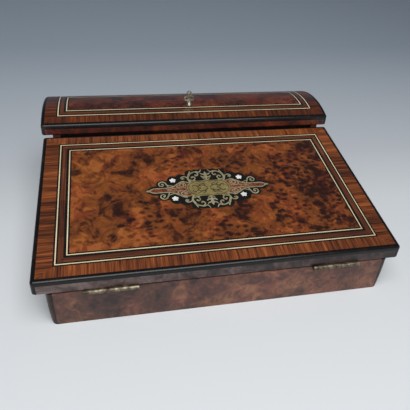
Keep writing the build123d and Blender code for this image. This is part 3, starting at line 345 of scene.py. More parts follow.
def banding(name, origin, angle, half_width, length, mitre, stripe_mm, long_mm, across, colours):
    """Veneer strips round a lid, whose face starts at origin and rises at this angle for this length.
    mitre gives how far in from the side the strips start, and the end strips' share of the sides' width.
    across is True where the grain runs square to the lid's edge"""
    side_start, side_share = mitre
    side_edge = half_width - side_start
    middle = length / 2
    side_shift = 7.3
    finish, tree, shader = start_finish(name, 0.3, coat=0.1, coat_roughness=0.14)
    place = add(tree, "ShaderNodeTexCoord").outputs["Object"]
    laid = {"Vector": place, "Location": origin, "Rotation": (angle, 0.0, 0.0)}
    flat = add(tree, "ShaderNodeMapping", laid, vector_type="TEXTURE").outputs[0]
    apart = add(tree, "ShaderNodeSeparateXYZ", {0: flat})
    sideways, backwards = apart.outputs[0], apart.outputs[1]

    # How far a place is in from the side strips' edge and from the end strips' edge.
    from_middle = add(tree, "ShaderNodeMath", {0: sideways}, operation="ABSOLUTE").outputs[0]
    inwards = add(tree, "ShaderNodeMath", {0: side_edge, 1: from_middle}, operation="SUBTRACT").outputs[0]
    from_side = add(tree, "ShaderNodeMath", {0: inwards, 1: side_share}, operation="MULTIPLY").outputs[0]
    from_back = add(tree, "ShaderNodeMath", {0: length, 1: backwards}, operation="SUBTRACT").outputs[0]
    nearer = add(tree, "ShaderNodeMath", {0: from_back, 1: backwards}, operation="MINIMUM").outputs[0]
    from_end = add(tree, "ShaderNodeMath", {0: nearer, 1: banding_edge}, operation="SUBTRACT").outputs[0]

    # Which of the four strips it is on, so that each has stripes of its own, and how far along it.
    on_side = add(tree, "ShaderNodeMath", {0: from_side, 1: from_end}, operation="LESS_THAN").outputs[0]
    running = {"Factor": on_side, 2: sideways, 3: backwards}
    along = add(tree, "ShaderNodeMix", running, data_type="FLOAT").outputs[0]
    inside = add(tree, "ShaderNodeMath", {0: from_side, 1: from_end}, operation="MINIMUM").outputs[0]
    left_or_right = add(tree, "ShaderNodeMath", {0: sideways}, operation="SIGN").outputs[0]
    at_back = add(tree, "ShaderNodeMath", {0: backwards, 1: middle}, operation="GREATER_THAN").outputs[0]
    paired = {"Factor": on_side, 2: at_back, 3: left_or_right}
    which = add(tree, "ShaderNodeMix", paired, data_type="FLOAT").outputs[0]
    numbered = {0: on_side, 1: side_shift, 2: which}
    strip_number = add(tree, "ShaderNodeMath", numbered, operation="MULTIPLY_ADD").outputs[0]
    strip = add(tree, "ShaderNodeCombineXYZ", {0: along, 1: inside, 2: strip_number}).outputs[0]

    # Stripes, broader streaks, and a tone for each leaf.
    fine, coarse = 1 / (stripe_mm * MM), 1 / (long_mm * MM)
    scale = (fine, coarse, 1.0) if across else (coarse, fine, 1.0)
    stretched = add(tree, "ShaderNodeMapping", {"Vector": strip, "Scale": scale}).outputs[0]
    striped = {"Vector": stretched, "Scale": 1.0, "Detail": 2.0, "Roughness": 0.6, "Distortion": 0.3}
    stripes = add(tree, "ShaderNodeTexNoise", striped).outputs[0]
    wider = {"Vector": stretched, "Scale": (0.22, 0.6, 1.0)}
    streak_place = add(tree, "ShaderNodeMapping", wider).outputs[0]
    streaked = {"Vector": streak_place, "Scale": 1.0, "Detail": 2.0}
    streaks = add(tree, "ShaderNodeTexNoise", streaked).outputs[0]
    leaf = add(tree, "ShaderNodeMath", {0: along, 1: leaf_length}, operation="DIVIDE").outputs[0]
    leaf_number = add(tree, "ShaderNodeMath", {0: leaf}, operation="FLOOR").outputs[0]
    leaf_place = add(tree, "ShaderNodeCombineXYZ", {0: leaf_number, 1: strip_number}).outputs[0]
    leaf_tone = add(tree, "ShaderNodeTexWhiteNoise", {"Vector": leaf_place}).outputs["Value"]
    tone = -0.02
    for value, share in ((stripes, 0.52), (streaks, 0.42), (leaf_tone, 0.10)):
        part = add(tree, "ShaderNodeMath", {0: value, 1: share, 2: tone}, operation="MULTIPLY_ADD")
        tone = part.outputs[0]
    ramp = add(tree, "ShaderNodeValToRGB", {"Fac": tone}, stops=even_stops(0.32, 0.68, colours))
    tree.links.new(ramp.outputs[0], shader.inputs["Base Color"])
    bump = add(tree, "ShaderNodeBump", {"Height": stripes, "Strength": 0.15, "Distance": 0.08 * MM})
    tree.links.new(bump.outputs[0], shader.inputs["Normal"])
    return finish


slope_face = {
    "origin": (0.0, slope_low.y, slope_front_z),
    "angle": slope_angle,
    "half_width": slope_high.x,
    "length": slope_length,
}
dome_face = {
    "origin": (0.0, dome_low.y, dome_high.z),
    "angle": 0.0,
    "half_width": dome_high.x,
    "length": dome_high.y - dome_low.y,
}
slope_tulipwood = ["#1a0903", "#411d0b", "#693416", "#874820", "#a85f2a"]
dome_tulipwood = ["#100401", "#2e1205", "#4f230b", "#703510", "#8c4c1f"]
rosewood = ["#26100a", "#452010", "#5f321a", "#7a4a28"]
for lid, part, face, cross_width, tulipwood in (
    ("slope", "slope_lid", slope_face, slope_cross_width, slope_tulipwood),
    ("dome", "dome", dome_face, dome_cross_width, dome_tulipwood),
):
    crossbanding = banding(
        f"tulipwood_{lid}",
        mitre=(banding_edge, cross_width / (cross_width + side_extra)),
        stripe_mm=0.9,
        long_mm=30,
        across=True,
        colours=tulipwood,
        **face,
    )
    wear(f"{part}_crossbanding", crossbanding)
    middle_band = banding(
        f"rosewood_{lid}",
        mitre=(banding_edge + side_extra, 1.0),
        stripe_mm=1.0,
        long_mm=45,
        across=False,
        colours=rosewood,
        **face,
    )
    wear(f"{part}_middle_band", middle_band)

# The strings between the bands: boxwood 1 mm wide, and pearwood 1.5 to 2.4 mm wide, dyed black through
# and glued into the joints of the veneer. They give the eye thin cream lines, a little yellowed, between
# lines of dense black.
boxwood = grain(
    "boxwood_string",
    along=LEFT_TO_RIGHT,
    grain_mm=0.8,
    length_mm=30,
    colours=["#b5a27c", "#d6c69e", "#eadfbe"],
    roughness=0.35,
)
black_string = ebonised("black_dyed_string", seed=(0.7, 0.1, 0.3), roughness=0.35)
for lid in ("slope_lid", "dome"):
    wear(f"{lid}_white_strings", boxwood)
    wear(f"{lid}_black_strings", black_string)

# The two panels inside the strings: one choice sheet of burr each, glued down and french polished.
# The sloping lid's gives the eye orange-brown with broad swirls and small dark eyes, which crowd to the
# right. The dome's is darker and redder.
slope_burr = burr(
    "thuya_burr_slope",
    seed=(0.0, 0.0, 0.0),
    colours=["#270e06", "#46200d", "#663616", "#7b4218", "#935626"],
    spread=0.46,
    lean=-0.33,
    cloud_mm=26,
    smudge_depth=0.24,
    spot_mm=8,
    spot_depth=0.27,
    roughness=0.3,
    coat=0.1,
)
wear("slope_lid_burr_panel", slope_burr)
dome_burr = burr(
    "thuya_burr_dome",
    seed=(0.83, 0.61, 0.42),
    colours=["#180702", "#351306", "#51220b", "#652e11", "#793d1a"],
    spread=0.42,
    lean=0.0,
    cloud_mm=30,
    smudge_depth=0.1,
    spot_mm=5,
    spot_depth=0.2,
    roughness=0.3,
    coat=0.0,
)
wear("dome_burr_panel", dome_burr)


# The cartouche's ground: a sheet of ebony 1 mm thick, cut with a fretsaw round the scrolls that it will
# hold, and let into the middle of the burr. It gives the eye a dense black edge of lobes. All outlines
# of the cartouche are in millimetres from its middle, across the lid and up it.
lid_turn = Matrix.Rotation(slope_angle, 3, "X")
lid_origin = Vector((0.0, slope_low.y, slope_front_z))
cartouche_up = slope_length / 2


def on_lid(x, y, height):
    """A place on the sloping lid, in millimetres from the cartouche's middle and above the face"""
    return lid_origin + lid_turn @ Vector((x * MM, cartouche_up + y * MM, height * MM))


def plate(outline, height, thick):
    """The points and faces of a flat plate. Its top stands at this height above the lid's face"""
    count = len(outline)
    top = [on_lid(x, y, height) for x, y in outline]
    bottom = [on_lid(x, y, height - thick) for x, y in outline]
    faces = [list(range(count)), list(range(2 * count - 1, count - 1, -1))]
    faces += [[i, count + i, count + (i + 1) % count, (i + 1) % count] for i in range(count)]
    return top + bottom, faces


def inlaid(name, outlines, height, thick, step, finish, nodes=()):
    """One inlay of flat plates in the sloping lid, in place of these nodes. Its sizes are in millimetres.
    Each plate is a step higher than the one before it, so that faces that cross don't flicker"""
    levels = 12
    points, faces = [], []
    for number, outline in enumerate(outlines):
        edges = zip(outline, outline[1:] + outline[:1])
        doubled_area = sum(a[0] * b[1] - a[1] * b[0] for a, b in edges)
        anticlockwise = outline if doubled_area > 0 else outline[::-1]
        more, more_faces = plate(anticlockwise, height + step * (number % levels), thick)
        faces += [[len(points) + corner for corner in face] for face in more_faces]
        points += more
    mesh = bpy.data.meshes.new(name)
    mesh.from_pydata(points, [], faces)
    mesh.materials.append(finish)
    piece = bpy.data.objects.new(name, mesh)
    bpy.context.scene.collection.objects.link(piece)
    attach(piece, "slope_lid")
    if nodes:
        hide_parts(*nodes)


ground_lobes = [
    (47.2, 8.9, 5.9), (35.2, 14.0, 6.4), (26.6, 17.6, 5.4), (16.4, 23.3, 5.4),
    (9.4, 23.6, 5.7), (3.5, 23.5, 6.2), (56.0, 2.0, 4.6), (61.0, 0.6, 3.0),
]
ground_body = [(64.3, 0.0), (54.0, 5.4), (33.6, 11.8), (19.2, 23.6), (0.0, 23.8)]
ground_corners = 480


def ground_reach(turn):
    """How far the ground's lobes and body reach in this direction, within one quarter"""
    rounding = 1e-6
    across, up = math.cos(turn), math.sin(turn)
    reach = 0.0
    for (x0, y0), (x1, y1) in zip(ground_body, ground_body[1:]):
        facing = across * (y1 - y0) - up * (x1 - x0)
        if abs(facing) < rounding:
            continue
        share = (up * x0 - across * y0) / facing
        if -rounding <= share <= 1 + rounding:
            reach = max(reach, across * (x0 + share * (x1 - x0)) + up * (y0 + share * (y1 - y0)))
    for x, y, radius in ground_lobes:
        nearest = across * x + up * y
        aside = x * up - y * across
        if abs(aside) < radius:
            reach = max(reach, nearest + math.sqrt(radius ** 2 - aside ** 2))
    return reach


ground_edge = []
for corner in range(ground_corners):
    turn = 2 * math.pi * (corner + 0.5) / ground_corners
    reach = ground_reach(math.atan2(abs(math.sin(turn)), abs(math.cos(turn))))
    ground_edge.append((reach * math.cos(turn), reach * math.sin(turn)))
inlaid(
    "cartouche_ebony_sheet",
    [ground_edge],
    height=0.02,
    thick=1.0,
    step=0.0,
    finish=ebonised("ebony_ground", seed=(0.2, 0.9, 0.3), roughness=0.4),
    nodes=["cartouche_ground"],
)


# The two wings of the cartouche: thin plates of turtle shell, warmed flat, sawn to shape and glued down
# over red pigment. They give the eye a deep clouded red under a soft polish.
def smooth_line(points, steps=5):
    """Points on a smooth curve through these points"""
    ends = [points[0]] + list(points) + [points[-1]]
    line = []
    for index in range(1, len(ends) - 2):
        a, b, c, d = ends[index - 1:index + 3]
        for step in range(steps):
            t = step / steps
            weights = (
                -0.5 * t + t * t - 0.5 * t ** 3,
                1 - 2.5 * t * t + 1.5 * t ** 3,
                0.5 * t + 2 * t * t - 1.5 * t ** 3,
                -0.5 * t * t + 0.5 * t ** 3,
            )
            line.append(tuple(
                sum(weight * value for weight, value in zip(weights, values))
                for values in zip(a, b, c, d)
            ))
    line.append(tuple(points[-1]))
    return line


def speckled(name, colours, cloud_mm, roughness, coat):
    """A polished inlay with soft clouds, such as shell or pearl"""
    finish, tree, shader = start_finish(name, roughness, coat=coat)
    place = add(tree, "ShaderNodeTexCoord").outputs["Object"]
    clouded = {"Vector": place, "Scale": 1 / (cloud_mm * MM), "Detail": 3.0, "Distortion": 1.0}
    clouds = add(tree, "ShaderNodeTexNoise", clouded).outputs[0]
    ramp = add(tree, "ShaderNodeValToRGB", {"Fac": clouds}, stops=even_stops(0.35, 0.65, colours))
    tree.links.new(ramp.outputs[0], shader.inputs["Base Color"])
    return finish


wing_top = [
    (0.0, 8.0), (18.0, 8.6), (23.0, 10.6), (27.5, 10.4), (31.5, 8.2), (36.0, 5.0),
    (41.0, 3.4), (49.0, 3.0), (55.5, 3.2), (59.0, 1.8), (61.0, 0.0),
]
wing_side = smooth_line(wing_top)
wing = wing_side + [(x, -y) for x, y in wing_side[-2::-1]]
inlaid(
    "cartouche_shell_wings",
    [wing, [(-x, y) for x, y in wing]],
    height=0.06,
    thick=0.3,
    step=0.005,
    finish=speckled(
        "red_shell", ["#3a150b", "#6c3420", "#8a5238"], cloud_mm=2, roughness=0.3, coat=0.2
    ),
    nodes=["cartouche_shell"],
)


# The scrolls: sheet brass cut with a fretsaw into tapering ribbons with round eyes, and glued down over
# the ebony and the shell. Old brass gives the eye a pale greenish gold, half dull.
def metal(name, colours, roughness, cloud_mm):
    """A metal with cloudy tarnish. colours run from the tarnish to the bare metal"""
    finish, tree, shader = start_finish(name, roughness, metallic=1.0)
    place = add(tree, "ShaderNodeTexCoord").outputs["Object"]
    clouded = {"Vector": place, "Scale": 1 / (cloud_mm * MM), "Detail": 5.0}
    tarnish = add(tree, "ShaderNodeTexNoise", clouded).outputs[0]
    ramp = add(tree, "ShaderNodeValToRGB", {"Fac": tarnish}, stops=even_stops(0.35, 0.65, colours))
    tree.links.new(ramp.outputs[0], shader.inputs["Base Color"])
    dulled = {
        "Value": tarnish,
        "From Min": 0.3,
        "From Max": 0.7,
        "To Min": roughness + 0.15,
        "To Max": roughness,
    }
    dull = add(tree, "ShaderNodeMapRange", dulled).outputs[0]
    tree.links.new(dull, shader.inputs["Roughness"])
    bump = add(tree, "ShaderNodeBump", {"Height": tarnish, "Strength": 0.1, "Distance": 0.05 * MM})
    tree.links.new(bump.outputs[0], shader.inputs["Normal"])
    return finish


def ribbon(points):
    """The outline of a tapering ribbon. Each point has a place and the ribbon's width there"""
    line = smooth_line(points, steps=6)
    left, right = [], []
    for index, (x, y, width) in enumerate(line):
        ahead = line[min(index + 1, len(line) - 1)]
        behind = line[max(index - 1, 0)]
        along = Vector((ahead[0] - behind[0], ahead[1] - behind[1])).normalized()
        left.append((x - along.y * width / 2, y + along.x * width / 2))
        right.append((x + along.y * width / 2, y - along.x * width / 2))
    return left + right[::-1]


def disc(x, y, radius):
    """The outline of the round eye of a scroll"""
    corners = 16
    turns = [2 * math.pi * i / corners for i in range(corners)]
    return [(x + radius * math.cos(turn), y + radius * math.sin(turn)) for turn in turns]


def four_ways(outline):
    """The same outline in all four quarters of the cartouche"""
    return [[(a * x, b * y) for x, y in outline] for a in (1, -1) for b in (1, -1)]


wing_edge_width = 1.25
wing_edge = [(x, y, wing_edge_width) for x, y in wing_top[1:]]
brass_strokes = [
    wing_edge,
    [(61.0, 0.0, 2.2), (62.4, 0.5, 1.6), (63.9, 0.0, 0.4)],
    [
        (41.0, 3.6, 0.7), (42.2, 6.6, 1.4), (44.0, 11.0, 1.5),
        (47.2, 12.6, 1.7), (50.3, 10.2, 1.5), (49.8, 6.8, 1.3),
        (47.2, 6.0, 1.1), (45.8, 7.6, 0.9), (46.8, 9.0, 1.5),
    ],
    [(36.0, 5.4, 0.8), (39.0, 6.2, 1.1), (41.8, 7.6, 0.8)],
    [
        (17.2, 9.4, 2.4), (18.6, 12.5, 2.0), (19.4, 16.0, 2.1),
        (18.0, 20.2, 2.2), (16.6, 23.6, 2.0), (15.9, 27.2, 0.5),
    ],
    [
        (19.2, 15.2, 1.4), (21.6, 18.4, 1.3), (24.8, 18.6, 1.5),
        (26.6, 16.4, 1.3), (25.0, 14.9, 1.0), (24.0, 16.0, 1.6),
    ],
    [(22.4, 10.4, 0.7), (25.0, 11.8, 1.2), (28.4, 10.9, 0.7)],
    [
        (16.8, 22.4, 1.6), (13.4, 24.6, 1.5), (9.6, 25.6, 1.6),
        (6.2, 24.6, 1.4), (4.6, 26.4, 1.2), (3.4, 29.0, 0.4),
    ],
    [
        (17.6, 13.4, 1.2), (14.8, 12.2, 1.2), (12.6, 13.8, 1.3),
        (12.0, 16.4, 1.4), (14.0, 18.2, 1.3), (15.6, 16.8, 1.0),
    ],
    [(10.2, 25.2, 1.0), (8.0, 22.8, 1.3), (8.6, 20.0, 1.5), (10.8, 19.2, 1.2), (11.6, 20.8, 0.9)],
    [(11.6, 10.4, 1.4), (12.8, 12.2, 1.2), (14.4, 12.2, 0.7)],
    [
        (0.0, 9.6, 3.2), (0.0, 13.0, 2.0), (0.0, 16.6, 2.4),
        (0.0, 20.4, 3.4), (0.0, 23.2, 2.2), (0.0, 24.8, 0.5),
    ],
    [(0.0, 16.8, 2.2), (2.6, 16.4, 1.9), (4.6, 17.6, 1.5), (5.0, 18.8, 0.6)],
    [(0.0, 20.6, 2.0), (2.4, 20.8, 1.8), (4.6, 22.2, 1.1), (5.4, 23.4, 0.4)],
    [(1.2, 12.4, 1.1), (3.0, 14.0, 0.9), (3.6, 15.2, 0.4)],
]
wing_strokes = [
    [
        (23.6, 8.6, 1.0), (27.4, 8.8, 1.1), (29.8, 6.4, 1.0),
        (28.0, 4.2, 1.0), (25.4, 4.8, 1.0), (25.6, 6.6, 1.2),
    ],
    [(23.4, 1.2, 1.0), (26.0, 2.8, 1.0), (29.6, 2.0, 1.1), (32.6, 3.4, 1.0), (32.0, 5.8, 0.9)],
    [(23.0, 3.2, 0.8), (23.8, 5.6, 0.9), (22.6, 7.4, 0.8)],
    [(32.8, 1.2, 0.9), (36.4, 1.8, 0.9), (39.8, 1.2, 0.8), (43.0, 0.9, 0.6)],
]
eyes = [
    (46.9, 8.9, 1.2), (24.4, 15.9, 1.3), (10.9, 20.1, 1.1),
    (15.0, 16.9, 1.1), (25.8, 6.5, 0.9), (32.1, 5.5, 0.8),
]
brass_outlines = []
for stroke in brass_strokes + wing_strokes:
    brass_outlines += four_ways(ribbon(stroke))
for x, y, radius in eyes:
    brass_outlines += four_ways(disc(x, y, radius))
inlaid(
    "cartouche_brass_scrolls",
    brass_outlines,
    height=0.1,
    thick=0.2,
    step=0.004,
    finish=metal("cut_brass", ["#b0a478", "#d8cca2", "#efe6c6"], roughness=0.45, cloud_mm=4),
    nodes=["cartouche_scrolls"],
)


# The plaque in the middle: a brass plate with lobed corners, engraved all over with a fine lattice.
# It gives the eye a brighter, yellower gold than the scrolls, broken up by the crossed lines.
def engraved(name, colours, pitch_mm):
    """Brass with a lattice of fine cut lines. pitch_mm is the distance from line to line, and a wave
    texture of scale 1 has a line every 0.314 m"""
    cloud_mm = 5
    wave_scale = 0.314 / (pitch_mm * MM)
    finish, tree, shader = start_finish(name, 0.42, metallic=1.0)
    place = add(tree, "ShaderNodeTexCoord").outputs["Object"]
    laid = {"Vector": place, "Location": tuple(lid_origin), "Rotation": (slope_angle, 0.0, 0.0)}
    flat = add(tree, "ShaderNodeMapping", laid, vector_type="TEXTURE").outputs[0]
    clouded = {"Vector": place, "Scale": 1 / (cloud_mm * MM), "Detail": 5.0}
    tarnish = add(tree, "ShaderNodeTexNoise", clouded).outputs[0]
    lines = []
    for line_angle in (45, 135):
        turning = {"Vector": flat, "Rotation": (0.0, 0.0, math.radians(line_angle))}
        turned = add(tree, "ShaderNodeMapping", turning).outputs[0]
        waving = {"Vector": turned, "Scale": wave_scale, "Distortion": 1.2, "Detail": 1.0}
        lines.append(add(tree, "ShaderNodeTexWave", waving).outputs["Fac"])
    crossed = add(tree, "ShaderNodeMath", {0: lines[0], 1: lines[1]}, operation="MULTIPLY").outputs[0]
    tone = 0.24
    for value, share in ((crossed, 0.22), (tarnish, 0.5)):
        part = add(tree, "ShaderNodeMath", {0: value, 1: share, 2: tone}, operation="MULTIPLY_ADD")
        tone = part.outputs[0]
    ramp = add(tree, "ShaderNodeValToRGB", {"Fac": tone}, stops=even_stops(0.42, 0.72, colours))
    tree.links.new(ramp.outputs[0], shader.inputs["Base Color"])
    bump = add(tree, "ShaderNodeBump", {"Height": crossed, "Strength": 0.3, "Distance": 0.05 * MM})
    tree.links.new(bump.outputs[0], shader.inputs["Normal"])
    return finish


plaque_quarter = [
    (22.6, 0.0), (22.2, 4.0), (20.2, 7.6), (17.4, 9.2),
    (16.2, 10.6), (13.0, 11.4), (6.5, 11.2), (0.0, 11.9),
]
plaque_side = smooth_line(plaque_quarter)
plaque_top = plaque_side + [(-x, y) for x, y in plaque_side[-2::-1]]
plaque_edge = plaque_top[:-1] + [(x, -y) for x, y in plaque_top[:0:-1]]
inlaid(
    "cartouche_plaque_plate",
    [plaque_edge],
    height=0.18,
    thick=0.3,
    step=0.0,
    finish=engraved("engraved_brass", ["#b89a5c", "#f0d68c", "#fff0b0"], pitch_mm=1.1),
    nodes=["cartouche_plaque"],
)

# The plaque's engraving: a border line and scrolled leaves, cut with a graver and filled with black wax.
# It is plain ornament, and gives the eye thin dark lines on the gold.
border_width = 0.45
inset_across, inset_up = 0.92, 0.875
border_cut = [(inset_across * x, inset_up * y, border_width) for x, y in plaque_quarter]
leaf_cuts = [
    [
        (1.0, 0.5, 0.7), (4.0, 3.4, 0.9), (8.0, 4.4, 0.9),
        (11.4, 2.2, 0.7), (10.2, 0.5, 0.6), (8.4, 0.8, 0.8),
    ],
    [(4.0, 3.4, 0.7), (4.4, 6.0, 0.8), (7.4, 7.6, 0.5)],
    [(11.4, 2.2, 0.7), (14.4, 4.8, 0.8), (16.8, 4.0, 0.6), (16.2, 2.2, 0.5)],
    [(8.0, 4.4, 0.6), (10.6, 6.4, 0.7), (12.6, 7.2, 0.4)],
]
engraved_lines = []
for line in [border_cut] + leaf_cuts:
    engraved_lines += four_ways(ribbon(line))
inlaid(
    "cartouche_plaque_engraving",
    engraved_lines,
    height=0.2,
    thick=0.03,
    step=0.001,
    finish=ebonised("black_wax", seed=(0.4, 0.5, 0.6), roughness=0.5),
)

# The four flowers: mother-of-pearl, pierced and filed into five round petals, and let into the ebony.
# It gives the eye small bright milky-white stars.
flower_places = ((35.0, 13.5), (-35.6, 14.0), (34.0, -12.9), (-36.4, -12.7))
flower_radius = 3.3
petal_count = 5
petal_waist = 0.62
petal_bluntness = 0.7
flower_corners = 60
flowers = []
for across, up in flower_places:
    petals = []
    for corner in range(flower_corners):
        turn = 2 * math.pi * corner / flower_corners
        lobe = abs(math.cos(petal_count * (turn - math.pi / 2) / 2)) ** petal_bluntness
        reach = flower_radius * (petal_waist + (1 - petal_waist) * lobe)
        petals.append((across + reach * math.cos(turn), up + reach * math.sin(turn)))
    flowers.append(petals)
inlaid(
    "cartouche_pearl_flowers",
    flowers,
    height=0.16,
    thick=0.3,
    step=0.004,
    finish=speckled(
        "mother_of_pearl", ["#c4c6c0", "#dedcd4", "#efece6"], cloud_mm=2, roughness=0.25, coat=0.4
    ),
    nodes=["cartouche_flowers"],
)

# The butt hinges, their pins and screws, the strike plate and the keyhole bush: cast and filed brass,
# screwed or pressed into the wood. Browned with age, it gives the eye a dull gold with darker patches.
hinge_brass = metal("browned_brass", ["#3e362e", "#6e6353", "#998d79"], roughness=0.45, cloud_mm=5)
for node in (
    "front_hinge_case_leaves",
    "front_hinge_lid_leaves",
    "rear_hinge_case_leaves",
    "rear_hinge_lid_leaves",
    "flap_hinge_case_leaves",
    "flap_hinge_flap_leaves",
    "hinge_pins",
    "case_screws",
    "slope_lid_screws",
    "dome_screws",
    "strike_plate",
    "keyhole_bush",
):
    wear(node, hinge_brass)

# The key and the lock: a cast brass key, kept bright by fingers, and a lock of filed steel plates under
# the dome's front. They give the eye a pale gold with glints, and a plain grey that nobody polishes.
key_brass = metal("key_brass", ["#6d6352", "#a59b86", "#d6cfbd"], roughness=0.32, cloud_mm=4)
wear("key", key_brass)
lock_steel = metal("lock_steel", ["#55524e", "#706d69", "#85827e"], roughness=0.42, cloud_mm=9)
for node in ("lock_case", "lock_bolt"):
    wear(node, lock_steel)


# The writing surfaces: goat skiver dyed dark green, glued into a shallow bed.
# It gives the eye a fine pebble grain with a low sheen.
def leather(name, colours):
    """Thin dyed leather with a grain of about a millimetre"""
    cloud_mm, pebble_mm = 30, 0.9
    finish, tree, shader = start_finish(name, 0.55)
    place = add(tree, "ShaderNodeTexCoord").outputs["Object"]
    clouded = {"Vector": place, "Scale": 1 / (cloud_mm * MM), "Detail": 4.0}
    clouds = add(tree, "ShaderNodeTexNoise", clouded).outputs[0]
    ramp = add(tree, "ShaderNodeValToRGB", {"Fac": clouds}, stops=even_stops(0.35, 0.65, colours))
    tree.links.new(ramp.outputs[0], shader.inputs["Base Color"])
    pebbled = {"Vector": place, "Scale": 1 / (pebble_mm * MM)}
    pebbles = add(tree, "ShaderNodeTexVoronoi", pebbled).outputs["Distance"]
    bump = add(tree, "ShaderNodeBump", {"Height": pebbles, "Strength": 0.35, "Distance": 0.15 * MM})
    tree.links.new(bump.outputs[0], shader.inputs["Normal"])
    return finish


green_skiver = leather("green_skiver", ["#1c2a1e", "#26382a", "#30452f"])
for node in ("slope_lid_leather", "writing_flap_leather"):
    wear(node, green_skiver)


# The well's lining: paper marbled by hand and pasted to the bottom board.
# It gives the eye soft veins of brown and blue on buff.
def marbled_paper(name):
    """Paper with veins about 4 mm apart"""
    swirl_mm = 9
    finish, tree, shader = start_finish(name, 0.8)
    place = add(tree, "ShaderNodeTexCoord").outputs["Object"]
    veined = {"Vector": place, "Scale": 1 / (swirl_mm * MM), "Detail": 3.0, "Distortion": 3.5}
    veins = add(tree, "ShaderNodeTexNoise", veined).outputs[0]
    stops = [(0.3, "#5b6b78"), (0.42, "#b39a78"), (0.5, "#7a4a34"), (0.56, "#c9b48c"), (0.7, "#8a7a66")]
    ramp = add(tree, "ShaderNodeValToRGB", {"Fac": veins}, stops=stops)
    tree.links.new(ramp.outputs[0], shader.inputs["Base Color"])
    return finish


wear("well_lining", marbled_paper("marbled_paper"))

# The fittings behind the partition: dividers, inkwell seats and a pen tray, planed and cut from mahogany
# and glued in, apart from the tray, which lifts out. It gives the eye a plain red-brown straight grain.
mahogany = grain(
    "mahogany",
    along=LEFT_TO_RIGHT,
    grain_mm=1.2,
    length_mm=40,
    colours=["#4a2616", "#6a3a22", "#84502f"],
    roughness=0.45,
)
for node in ("pen_tray", "inkwell_seats", "bay_dividers"):
    wear(node, mahogany)


# The inkwells: blown and cut lead glass, faintly green, with turned brass collars and hinged caps
# cemented on. They give the eye thick clear walls with bright edges, and a warm polished gold.
inkwell_brass = metal("inkwell_brass", ["#8a7340", "#b99c58", "#d6bd7c"], roughness=0.26, cloud_mm=7)
for node in ("inkwell_collars", "inkwell_cap_left", "inkwell_cap_right"):
    wear(node, inkwell_brass)


def cut_glass(name):
    """Clear glass, a touch green, with a little waviness"""
    wave_mm = 12
    finish, tree, shader = start_finish(name, 0.03, ior=1.55)
    shader.inputs["Transmission Weight"].default_value = 1.0
    place = add(tree, "ShaderNodeTexCoord").outputs["Object"]
    waves = add(tree, "ShaderNodeTexNoise", {"Vector": place, "Scale": 1 / (wave_mm * MM)}).outputs[0]
    ramp = add(tree, "ShaderNodeValToRGB", {"Fac": waves}, stops=[(0.3, "#dfeae2"), (0.7, "#eef5ef")])
    tree.links.new(ramp.outputs[0], shader.inputs["Base Color"])
    bump = add(tree, "ShaderNodeBump", {"Height": waves, "Strength": 0.2, "Distance": 0.1 * MM})
    tree.links.new(bump.outputs[0], shader.inputs["Normal"])
    return finish


wear("inkwells", cut_glass("cut_glass"))


# The floor and the backdrop behind it: one sheet of matt paper, painted from pale to grey-blue with
# distance as painted shade where the light falls off, as in the photograph. It isn't part of the box.
def paper_sweep():
    """A floor that rises into a wall far behind the box"""
    half, front, bend, radius, height = 6.0, -4.0, 3.0, 1.0, 3.0
    bend_steps = 8
    rows = [(front, 0.0), (-1.0, 0.0), (0.0, 0.0), (1.0, 0.0), (bend, 0.0)]
    for step in range(1, bend_steps + 1):
        turn = math.pi / 2 * step / bend_steps
        rows.append((bend + radius * math.sin(turn), radius * (1 - math.cos(turn))))
    rows.append((bend + radius, height))
    points = [(x, y, z) for y, z in rows for x in (-half, half)]
    faces = [(2 * i, 2 * i + 1, 2 * i + 3, 2 * i + 2) for i in range(len(rows) - 1)]
    mesh = bpy.data.meshes.new("paper_sweep")
    mesh.from_pydata(points, [], faces)
    mesh.polygons.foreach_set("use_smooth", [True] * len(faces))
    sweep = bpy.data.objects.new("paper_sweep", mesh)
    bpy.context.scene.collection.objects.link(sweep)
    return sweep


sweep = paper_sweep()
sweep_paper, tree, shader = start_finish("matt_paper", 0.9)
shader.inputs["Specular IOR Level"].default_value = 0.0
place = add(tree, "ShaderNodeTexCoord").outputs["Object"]
away = add(tree, "ShaderNodeSeparateXYZ", {0: place}).outputs[1]
fading = {"Value": away, "From Min": -0.25, "From Max": 1.75}
faded = add(tree, "ShaderNodeMapRange", fading).outputs[0]
# Pale near the box, darker and bluer further off: painted shade for the light's fall-off.
painted_falloff_stops = [
    (0.0, "#d9dcde"),
    (0.13, "#d2d6d9"),
    (0.2, "#bfc4c9"),
    (0.32, "#b4bbc3"),
    (0.5, "#a6b1bc"),
    (0.85, "#b6c1cd"),
]
ramp = add(tree, "ShaderNodeValToRGB", {"Fac": faded}, stops=painted_falloff_stops)
tree.links.new(ramp.outputs[0], shader.inputs["Base Color"])
sweep.data.materials.append(sweep_paper)

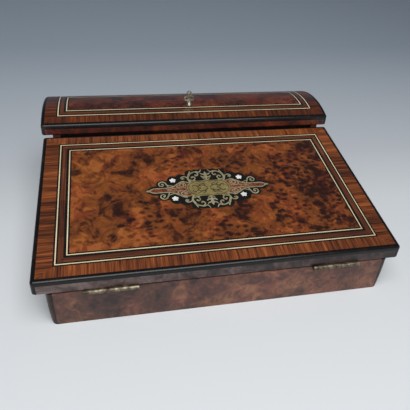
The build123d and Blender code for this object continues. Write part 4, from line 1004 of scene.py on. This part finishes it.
# Soft studio light: a room that is bright near the floor's level and dim above, so that the polished
# tops reflect little, with one wide lamp high up in front of the box.
scene = bpy.context.scene
world = bpy.data.worlds.new("room")
world.use_nodes = True
room = world.node_tree
looking = add(room, "ShaderNodeTexCoord").outputs["Generated"]
height = add(room, "ShaderNodeSeparateXYZ", {0: looking}).outputs[2]
room_stops = [
    (0.0, "#d0d6dc"),
    (0.25, "#a4aab1"),
    (0.5, "#54585d"),
    (0.8, "#5c6064"),
    (1.0, "#64686c"),
]
room_ramp = add(room, "ShaderNodeValToRGB", {"Fac": height}, stops=room_stops)
background = room.nodes["Background"]
room.links.new(room_ramp.outputs[0], background.inputs["Color"])
background.inputs["Strength"].default_value = 1.0
scene.world = world
lamp_place = Vector((-0.05, -0.75, 1.35))
lamp_aim = Vector((0.0, 0.0, 0.05))
light = bpy.data.lights.new("overhead_lamp", "AREA")
light.shape = "SQUARE"
light.size = 1.3
light.energy = 26
lamp = bpy.data.objects.new("overhead_lamp", light)
lamp.location = lamp_place
lamp.rotation_euler = (lamp_aim - lamp_place).to_track_quat("-Z", "Y").to_euler()
scene.collection.objects.link(lamp)

# The camera: in front of the box, a little to its left and above it, and tilted a few degrees, as a fit
# to the lid's corners in the photograph gave.
azimuth = math.radians(-13.65)
elevation = math.radians(34.0)
roll = math.radians(3.56)
focal_px = 445.3
picture_px = 410.0
distance = 484.6 * MM
target = Vector((0.3, -31.3, 38.4)) * MM
back = Vector((
    math.sin(azimuth) * math.cos(elevation), -math.cos(azimuth) * math.cos(elevation), math.sin(elevation)
))
level_right = (-back).cross(Vector((0, 0, 1))).normalized()
level_up = level_right.cross(-back)
right = math.cos(roll) * level_right + math.sin(roll) * level_up
up = -math.sin(roll) * level_right + math.cos(roll) * level_up
turned = Matrix((right, up, back)).transposed().to_4x4()
lens = bpy.data.cameras.new("camera")
lens.sensor_width = 36.0
lens.lens = focal_px / picture_px * lens.sensor_width
lens.clip_start = 0.01
lens.clip_end = 50.0
camera = bpy.data.objects.new("camera", lens)
camera.matrix_world = Matrix.Translation(target + back * distance) @ turned
scene.collection.objects.link(camera)
scene.camera = camera
scene.view_settings.view_transform = "Standard"
